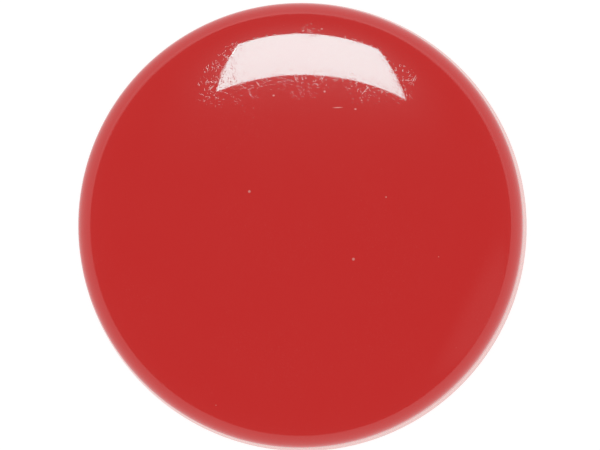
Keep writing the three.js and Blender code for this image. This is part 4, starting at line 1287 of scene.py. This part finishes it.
def makeBoard():
    slab = block("circuitBoard", boardLow, boardHigh, 0.08 * mm, boardGreen)
    holes = []
    for spot in boardSpots:
        holes.append(turned("hole", [(0, boardLow.z - mm), (1.2 * mm, boardLow.z - mm),
                                     (1.2 * mm, boardHigh.z + mm),
                                     (0, boardHigh.z + mm)], (spot.x, spot.y, 0), 32))
    slab = combine(slab, holes)
    z = boardHigh.z
    left, right, front, rear = boardLow.x, boardHigh.x, boardLow.y, boardHigh.y
    runs = [
        [(left + 2.5 * mm, 5 * mm), (left + 5 * mm, 5 * mm), (chipAt.x, 0), (chipAt.x, chipAt.y + 4 * mm)],
        [(left + 2.5 * mm, 1.5 * mm), (left + 4 * mm, 1.5 * mm), (chipAt.x - 3 * mm, chipAt.y + 3 * mm)],
        [(-2.5 * mm, 2.1 * mm), (-4 * mm, 3.6 * mm), (-4 * mm, 8 * mm), (-7 * mm, 11 * mm),
         (-7 * mm, rear - 3 * mm)],
        [(2.5 * mm, 2.1 * mm), (6.6 * mm, 6.2 * mm), (6.6 * mm, 9 * mm)],
        [(13.4 * mm, 9 * mm), (15 * mm, 7 * mm), (15 * mm, -10 * mm), (11 * mm, -14 * mm),
         (5 * mm, front + 3.2 * mm)],
        [(2.5 * mm, -2.1 * mm), (6 * mm, -5.6 * mm), (6 * mm, -12 * mm), (4 * mm, front + 4 * mm)],
        [(-2.5 * mm, -2.1 * mm), (-5.5 * mm, -5 * mm), (chipAt.x + 3.6 * mm, chipAt.y + 1 * mm)],
        [(chipAt.x + 2 * mm, chipAt.y - 3.4 * mm), (-6 * mm, -14 * mm), (-6 * mm, front + 3 * mm)],
        [(6.6 * mm, 9 * mm), (6.6 * mm, 12 * mm), (7.5 * mm, 13 * mm), (7.5 * mm, rear - 3 * mm)],
    ]
    parts = [slab]
    for run in runs:
        parts += track(run, z)
    ends = [run[i] for run in runs for i in (0, -1)]
    wired = [e for e in ends if math.hypot(e[0] - chipAt.x,
                                           e[1] - chipAt.y) > 5 * mm and e[0] > left + 3 * mm]
    parts += pads([e for e in wired if math.hypot(*e) > 5 * mm], z + 0.01 * mm, True)
    parts += pads([(x, front + 3.3 * mm) for x in (-8.5 * mm, -6 * mm, -3.5 * mm)], z, True)
    edging = block("legend", (-4.4 * mm, -4.4 * mm, z), (4.4 * mm, 4.4 * mm, z + 0.02 * mm),
                   material=whitePlastic)
    inside = block("legendInside", (-4.2 * mm, -4.2 * mm, z - mm), (4.2 * mm, 4.2 * mm, z + mm))
    parts.append(combine(edging, [inside]))
    return joinPieces("circuitBoard", parts)


place(makeBoard(), "root", "board", "circuit_board")


switchSizes = {"half": 3 * mm, "bore": 1.95 * mm, "plunger": 1.75 * mm, "corner": 0.25 * mm}


def makeSwitch():
    x, top = switchSizes["half"], switchHigh.z
    foot = switchLow.z + 1.7 * mm
    body = block("switchBody", (-x, -x, foot), (x, x, top - 0.3 * mm), 0.2 * mm, blackEpoxy)
    lid = block("lid", (-x + 0.1 * mm, -x + 0.1 * mm, top - 0.32 * mm), (x - 0.1 * mm, x - 0.1 * mm, top),
                0.1 * mm, steel)
    bore = turned("bore", [(0, top - 1.6 * mm), (switchSizes["bore"], top - 1.6 * mm),
                           (switchSizes["bore"], top + mm), (0, top + mm)],
                  sides=40)
    second = copyOf(bore, Matrix.Identity(4))
    parts = [combine(body, [bore]), combine(lid, [second])]
    for i in range(4):
        px, py = (2.1 * mm, 2.1 * mm) if i in (0, 3) else (-2.1 * mm, 2.1 * mm)
        py = py if i < 2 else -py
        parts.append(turned("rivet", [(0, top - 0.1 * mm), (0.45 * mm, top - 0.1 * mm),
                                      (0.3 * mm, top - 0.01 * mm),
                                      (0, top)], (px, py, 0), 20, blackEpoxy))
        parts.append(block("leg", (px * 1.19 - 0.25 * mm, py - 0.25 * mm, switchLow.z),
                           (px * 1.19 + 0.25 * mm, py + 0.25 * mm, foot + 0.3 * mm), 0.08 * mm, nickel))
    return joinPieces("switchBody", parts)


place(makeSwitch(), "root", "epoxy", "switch_body")
low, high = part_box("switch_plunger")
plunger = turned("switchPlunger", [(0, low.z), (switchSizes["plunger"], low.z),
                                   *arcPoints(1.5 * mm, high.z - switchSizes["corner"],
                                              switchSizes["corner"], 0, 90, 5),
                                   (0.9 * mm, high.z - 0.05 * mm), (0, high.z - 0.05 * mm)], sides=48,
                 material=whitePlastic)
place(plunger, "plunger", "white_plastic", "switch_plunger")

low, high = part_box("sound_chip")
chipSizes = {"rows": 14, "foot": 0.97, "sag": 0.8, "ripple": 0.015}
blobRadius = (high.x - low.x) / 2
rows = chipSizes["rows"]
blob = turned("soundChip", [(0, low.z), (blobRadius * chipSizes["foot"], low.z)] + [
    (blobRadius * math.cos(t) * (1 + chipSizes["ripple"] * math.sin(5 * t)),
     low.z + (high.z - low.z) * math.sin(t) ** chipSizes["sag"])
    for t in (math.pi / 2 * i / rows for i in range(1, rows))] + [(0, high.z)], (chipAt.x, chipAt.y, 0),
              64, blackEpoxy)
for vert in blob.data.vertices:
    t = math.atan2(vert.co.y - chipAt.y, vert.co.x - chipAt.x)
    pull = 1 - 0.02 * (1 + math.sin(3 * t + 0.7)) - 0.01 * (1 + math.sin(7 * t))
    vert.co.x = chipAt.x + (vert.co.x - chipAt.x) * pull
    vert.co.y = chipAt.y + (vert.co.y - chipAt.y) * pull
place(blob, "root", "epoxy", "sound_chip")

low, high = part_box("capacitor")
tall = high.z - low.z
wide = (high.x - low.x) / 2
canShape = [(0, 0.1 * mm), (wide - 0.7 * mm, 0.1 * mm), (wide - 0.6 * mm, 0),
            *arcPoints(wide - 0.35 * mm, 0.35 * mm, 0.35 * mm, -90, 0, 5),
            (wide, tall - 1.4 * mm), (wide - 0.1 * mm, tall - 1.2 * mm),
            (wide - 0.3 * mm, tall - 0.95 * mm),
            (wide - 0.1 * mm, tall - 0.7 * mm), (wide, tall - 0.5 * mm), (wide, tall - 0.2 * mm),
            (wide - 0.3 * mm, tall), (0, tall)]
canSleeve = makeBanded("canSleeve", (0.012, 0.016, 0.03), 0,
                       [(low.x, low.x + 0.9 * mm, (0.45, 0.46, 0.48))], 0.32)
place(turned("capacitor", canShape, (canAt.x, canAt.y, low.z), 56, canSleeve), "root", "sleeve",
      "capacitor")

low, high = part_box("resistor")
length = high.x - low.x
thick = (high.y - low.y) / 2
shape = [(0, 0), (thick * 0.55, 0.05 * mm), (thick * 0.9, 0.3 * mm), (thick, 0.8 * mm),
         (thick * 0.93, 1.4 * mm), (thick * 0.8, 1.9 * mm)]
shape += [(r, length - z) for r, z in reversed(shape)]
cx = (low.x + high.x) / 2
bands = [(cx + d * mm - 0.25 * mm, cx + d * mm + 0.25 * mm, paint) for d, paint in
         ((-2.4, (0.12, 0.03, 0.012)), (-1.2, (0.01, 0.01, 0.01)), (-0.2, (0.45, 0.05, 0.02)),
          (2.4, (0.55, 0.38, 0.10)))]
resistorPaint = makeBanded("resistorBody", (0.58, 0.40, 0.20), 0, bands, 0.42)
resistor = turned("resistor", shape, sides=40, material=resistorPaint)
turnPiece(resistor, Matrix.Translation((low.x, resistorAt.y, resistorAt.z)) @ alongX(1))
place(resistor, "root", "resistor_body", "resistor")

low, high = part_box("transistor")
radius = (high.x - low.x) / 2
flat = low.y - (high.y - radius)
start = math.degrees(math.asin(max(-1.0, flat / radius)))
steps = 28
turns = [math.radians(start + (180 - 2 * start) * i / steps) for i in range(steps + 1)]
outline = [(transistorAt.x + radius * math.cos(t), high.y - radius + radius * math.sin(t)) for t in turns]
place(plate("transistor", outline, low.z, high.z, 0.12 * mm, blackEpoxy), "root", "epoxy", "transistor")
print("sound board made")

# Speaker

frameLow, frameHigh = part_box("speaker_frame")
speakerX, speakerY = speakerAt.x, speakerAt.y
speakerR = (frameHigh.x - frameLow.x) / 2
backZ = frameHigh.z - frameLow.z


speakerSizes = {"back": 7.6 * mm, "windowFrom": 8.3 * mm, "windowHalf": 2.4 * mm, "gasket": 2 * mm}


def makeSpeakerFrame():
    r, back = speakerR, speakerSizes["back"]
    half = speakerSizes["windowHalf"]
    outline = [(r - 1.8 * mm, 0), *arcPoints(r - 0.15 * mm, 0.15 * mm, 0.15 * mm, -90, 0, 3),
               (r, 0.85 * mm),
               (r - 0.15 * mm, 1 * mm), (r - 0.9 * mm, 1.1 * mm), (r - 1.3 * mm, 1.5 * mm),
               (back + 0.3 * mm, backZ - 0.25 * mm),
               (back, backZ), (2.6 * mm, backZ), (2.6 * mm, backZ - 0.7 * mm),
               (back - 0.6 * mm, backZ - 0.7 * mm),
               (r - 1.8 * mm, 1 * mm)]
    basket = turned("speakerFrame", outline, (speakerX, speakerY, frameLow.z), 96, steel)
    windows = []
    for turn in (45, 135, 225, 315):
        window = block("window", (speakerSizes["windowFrom"], -half, 1.4 * mm),
                       (r - 0.9 * mm, half, backZ - 0.55 * mm), 0.3 * mm)
        windows.append(turnPiece(window, Matrix.Translation((speakerX, speakerY, frameLow.z))
                                 @ Matrix.Rotation(math.radians(turn), 4, "Z")))
    return combine(basket, windows)


place(makeSpeakerFrame(), "root", "steel", "speaker_frame")
low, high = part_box("speaker_cone")
rim = (high.x - low.x) / 2
rings = []
for i in range(13):
    t = i / 12
    rings.append((rim - 0.15 * mm - t * 2.4 * mm, 0.12 * mm * (1 - math.cos(2 * math.pi * 2 * t))))
lift = low.z + 0.001 * mm
under = [(r, lift + h) for r, h in rings] + [(4.4 * mm, lift + 1.25 * mm), (3.9 * mm, lift + 1.2 * mm),
                                             (3.3 * mm, lift + 0.9 * mm),
                                             (2.4 * mm, lift + 0.62 * mm), (1.2 * mm, lift + 0.5 * mm),
                                             (0, lift + 0.46 * mm)]
over = [(r, lift + h + 0.4 * mm) for r, h in rings] + [(4.4 * mm, high.z - 0.45 * mm), (3.6 * mm, high.z),
                                                       (1.6 * mm, high.z - 0.3 * mm),
                                                     (0, high.z - 0.4 * mm)]
cone = turned("speakerCone", under[::-1] + over, (speakerX, speakerY, 0), 96, paper)
place(cone, "root", "paper", "speaker_cone")
low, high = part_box("speaker_magnet")
r = (high.x - low.x) / 2
place(turned("speakerMagnet",
             [(0, low.z), (r - 0.2 * mm, low.z), (r - 0.2 * mm, low.z + 0.7 * mm),
              (r - 0.45 * mm, low.z + 0.8 * mm),
                               (r - 0.45 * mm, low.z + 1.0 * mm), (r, low.z + 1.1 * mm),
                               *arcPoints(r - 0.4 * mm, high.z - 0.4 * mm, 0.4 * mm, 0, 90, 5),
              (1.6 * mm, high.z),
                               (1.4 * mm, high.z - 0.3 * mm), (0, high.z - 0.3 * mm)],
             (speakerX, speakerY, 0), 80, magnetMetal),
      "root", "magnet", "speaker_magnet")
low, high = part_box("speaker_gasket")
place(annulus("speakerGasket", speakerR, speakerR - speakerSizes["gasket"], low.z, high.z,
              (speakerX, speakerY), 0.2 * mm, 96, foam),
      "root", "foam", "speaker_gasket")
print("speaker made")

# Leads, each a soft path from solder joint to solder joint, with a drop of solder at either end

def makeLead(name, points, material):
    mesh = bpy.data.meshes.new(name + "Path")
    mesh.from_pydata(points, [(i, i + 1) for i in range(len(points) - 1)], [])
    wire = runTree(leadTree, name + "Wire", {"Radius": 0.6 * mm, "Spacing": 0.35 * mm, "Sides": 14,
                                             "Material": material}, mesh)
    smooth(wire)
    parts = [wire]
    for end in (points[0], points[-1]):
        drop = turned("drop", [(0, -0.3 * mm), (leadSizes["drop"], -0.25 * mm), (0.66 * mm, 0.1 * mm),
                               (0.4 * mm, 0.35 * mm), (0, 0.45 * mm)],
                      sides=20, material=tin)
        parts.append(moved(drop, *end))
    return joinPieces(name, parts)


leadSizes = {"drop": 0.72 * mm, "cellRow": 5.35 * mm, "redPad": 5 * mm, "blackPad": 1.5 * mm,
             "tab": 9.8 * mm}
trayTopZ = coverHigh.z
for node, material, slotName, padY in (("battery_lead_red", redWire, "red_wire", leadSizes["redPad"]),
                                       ("battery_lead_black", blackWire, "black_wire",
                                        leadSizes["blackPad"])):
    low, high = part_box(node)
    row = trayY + (leadSizes["cellRow"] if node.endswith("red") else -leadSizes["cellRow"])
    endX = low.x + 0.6 * mm + 0.4 * mm
    path = [(endX, row, cellZ - 0.6 * mm), (endX - 0.4 * mm, row, cellZ + 3 * mm),
            (endX + 0.6 * mm, row, trayTopZ + 0.6 * mm),
            (endX + 4 * mm, (2 * row + padY) / 3, boardHigh.z + 1.2 * mm),
            (boardLow.x - mm, padY, boardHigh.z + 1.5 * mm),
            (boardLow.x + 2.5 * mm, padY, boardHigh.z + 0.8 * mm)]
    place(makeLead("lead" + node[13:].capitalize(), path, material), "root", slotName, node)
for node, material, slotName, side in (("speaker_lead_red", redWire, "red_wire", 1),
                                       ("speaker_lead_black", blackWire, "black_wire", -1)):
    leadX, endZ = leadSizes["tab"], frameLow.z + 8 * mm * 0.3 + 1 * mm
    rear = boardHigh.y
    path = [(side * (leadX - 3 * mm), rear - 2.4 * mm, boardLow.z - 0.8 * mm),
            (side * (leadX - 1.6 * mm), rear - 1.4 * mm, boardLow.z - 2.4 * mm),
            (side * (leadX + 0.2 * mm), speakerY - 2 * mm, endZ + 4.4 * mm),
            (side * (leadX + 0.4 * mm), speakerY - 0.6 * mm, endZ + 2 * mm), (side * leadX, speakerY, endZ)]
    place(makeLead("speakerLead" + node[13:].capitalize(), path, material), "root", slotName, node)
print("leads made")


# Studio: a bright table, even light on every side, one large softbox to the back

# The table carries painted light: painted shade and painted red bounce light round the foot, seen in
# reflections only, and a painted pool of softbox light towards the back
studio = {
    "distance": 1.2, "lens": 360.0, "tilt": 0.9, "towards": -40.0, "aim": (-0.12 * mm, 0.08 * mm, 33 * mm),
    "tableGlow": 0.85, "tableColor": 0.25, "paintedSoftboxPool": 0.35, "paintedFootShade": 0.84,
    "paintedBounceTint": (1.0, 0.74, 0.71), "sweep": 0.055, "sky": 1.0, "room": 0.4, "softbox": 18.0,
    "softboxTint": (0.52, 1.0, 1.0), "patch": 0.24, "patchTowards": -26.0,
}

camera = bpy.data.objects.new("camera", bpy.data.cameras.new("camera"))
bpy.context.scene.collection.objects.link(camera)
camera.data.lens = studio["lens"]
camera.data.sensor_width = 36.0
camera.data.clip_start = 0.05
camera.data.clip_end = 50.0
lean = math.radians(studio["tilt"])
side = math.radians(studio["towards"])
aim = Vector(studio["aim"])
back = Vector((math.sin(lean) * math.cos(side), math.sin(lean) * math.sin(side), math.cos(lean)))
camera.location = aim + back * studio["distance"]
across = Vector((0, 1, 0)).cross(back).normalized()
upward = back.cross(across)
camera.rotation_mode = "QUATERNION"
camera.rotation_quaternion = Matrix((across, upward, back)).transposed().to_quaternion()
bpy.context.scene.camera = camera
bpy.context.scene.view_settings.view_transform = "Standard"
bpy.context.scene.view_settings.look = "None"


def stagePlane(name, corners, material):
    mesh = bpy.data.meshes.new(name)
    mesh.from_pydata(corners, [], [tuple(range(len(corners)))])
    made = bpy.data.objects.new(name, mesh)
    mesh.materials.append(material)
    bpy.context.scene.collection.objects.link(made)
    return made


def tableMaterial():
    made, tree, shader = newMaterial("table", (studio["tableColor"],) * 3, **{
        "Roughness": 1.0, "Specular IOR Level": 0.0, "Emission Color": (1, 1, 1, 1),
    })
    coords = addNode(tree, "ShaderNodeTexCoord").outputs["Object"]
    # Painted light: the table's glow rises towards the back, a painted pool of the softbox's light on it
    away = addNode(tree, "ShaderNodeSeparateXYZ", {"Vector": coords}).outputs[1]
    glow = mapRange(tree, away, 0.12, 0.7, studio["tableGlow"], studio["tableGlow"] + studio["paintedSoftboxPool"],
                    smooth=True)
    paper = noise(tree, coords, 900.0, 3.0)
    glow = mathNode(tree, "MULTIPLY", glow, mapRange(tree, paper, 0.2, 0.8, 0.995, 1.005))
    reach = vectorLength(tree, coords)
    # Painted shade: seen in reflections only, the table darkens in a ring round the foot of the base, a
    # painted contact shadow
    paintedShadeRing = mapRange(tree, reach, 44 * mm, 58 * mm, studio["paintedFootShade"], 1.0, smooth=True)
    mirrored = addNode(tree, "ShaderNodeLightPath").outputs["Is Glossy Ray"]
    paintedShadeFactor = mathNode(tree, "MULTIPLY_ADD", mirrored, mathNode(tree, "SUBTRACT", paintedShadeRing, 1.0), 1.0)
    glow = mathNode(tree, "MULTIPLY", glow, paintedShadeFactor)
    # Painted reflected light: in reflections only, the same ring is tinted pink, painted red light bounced
    # from the base onto the table
    paintedBounce = mathNode(tree, "MULTIPLY", mirrored,
                     mapRange(tree, reach, 44 * mm, 58 * mm, 1.0, 0.0, smooth=True))
    tint = mixColor(tree, paintedBounce, (1, 1, 1, 1), (*studio["paintedBounceTint"], 1))
    tree.links.new(tint, shader["Emission Color"])
    tree.links.new(glow, shader["Emission Strength"])
    return made


half = 20.0
table = stagePlane("table", [(-half, -half, 0), (half, -half, 0), (half, half, 0), (-half, half, 0)],
                   tableMaterial())


def glowMaterial(name, color, strength):
    made, tree, shader = newMaterial(name, (0, 0, 0), **{
        "Specular IOR Level": 0.0, "Roughness": 1.0, "Emission Color": (*color, 1),
        "Emission Strength": strength,
    })
    return made, tree, shader


def mirrorOnly(made):
    made.visible_camera = False
    made.visible_diffuse = False
    made.visible_shadow = False
    made.visible_transmission = False
    made.visible_volume_scatter = False


# The softbox lies level above the object, wider at its far edge, and its long edges bow away
softboxSizes = {
    "above": 1.0, "near": 0.68, "nearWidth": 0.98, "nearBow": 0.04,
    "far": 1.6, "farWidth": 1.25, "farBow": 0.1, "shift": 0.055, "steps": 12,
}


def bowedEdge(width, away, bow):
    sides = [2.0 * step / softboxSizes["steps"] - 1.0 for step in range(softboxSizes["steps"] + 1)]
    return [(softboxSizes["shift"] + side * width / 2, away + bow * (1.0 - side * side)) for side in sides]


softboxRim = bowedEdge(softboxSizes["nearWidth"], softboxSizes["near"], softboxSizes["nearBow"])
softboxRim += bowedEdge(softboxSizes["farWidth"], softboxSizes["far"], softboxSizes["farBow"])[::-1]
softbox = stagePlane("softbox", [(x, y, softboxSizes["above"] + aim.z) for x, y in softboxRim][::-1],
                     glowMaterial("softbox", studio["softboxTint"], studio["softbox"])[0])
mirrorOnly(softbox)

roomMesh = bpy.data.meshes.new("room")
roomShape = bmesh.new()
bmesh.ops.create_icosphere(roomShape, subdivisions=4, radius=6.0)
roomShape.to_mesh(roomMesh)
roomShape.free()
room = bpy.data.objects.new("room", roomMesh)
bpy.context.scene.collection.objects.link(room)
roomGlow, roomTree, roomShader = glowMaterial("room", (1, 1, 1), studio["room"])
patchTurn = math.radians(studio["patchTowards"])
patchWay = (math.cos(patchTurn) * 0.94, math.sin(patchTurn) * 0.94, 0.34)
roomSpot = addNode(roomTree, "ShaderNodeTexCoord").outputs["Object"]
roomWay = addNode(roomTree, "ShaderNodeVectorMath", {0: roomSpot}, operation="NORMALIZE").outputs[0]
near = addNode(roomTree, "ShaderNodeVectorMath", {0: roomWay, 1: patchWay},
               operation="DOT_PRODUCT").outputs["Value"]
glow = mapRange(roomTree, near, 0.91, 0.995, studio["room"], studio["room"] + studio["patch"], smooth=True)
# The table sweeps up a little at its far edge, except behind the object
heights = addNode(roomTree, "ShaderNodeSeparateXYZ", {"Vector": roomWay}).outputs
rim = mapRange(roomTree, heights[1], 0.75, 0.97, studio["sweep"], 0.0, smooth=True)
low = mapRange(roomTree, mathNode(roomTree, "SUBTRACT", heights[2], rim), -0.004, 0.004, 1.0, 0.0)
bright = mathNode(roomTree, "SUBTRACT", studio["tableGlow"] + studio["tableColor"], glow)
glow = mathNode(roomTree, "MULTIPLY_ADD", low, bright, glow)
roomTree.links.new(glow, roomShader["Emission Strength"])
roomMesh.materials.append(roomGlow)
mirrorOnly(room)

world = bpy.data.worlds.new("studio")
bpy.context.scene.world = world
world.use_nodes = True
world.node_tree.nodes["Background"].inputs["Color"].default_value = (1, 1, 1, 1)
world.node_tree.nodes["Background"].inputs["Strength"].default_value = studio["sky"]
world.cycles_visibility.glossy = False
print("studio made")
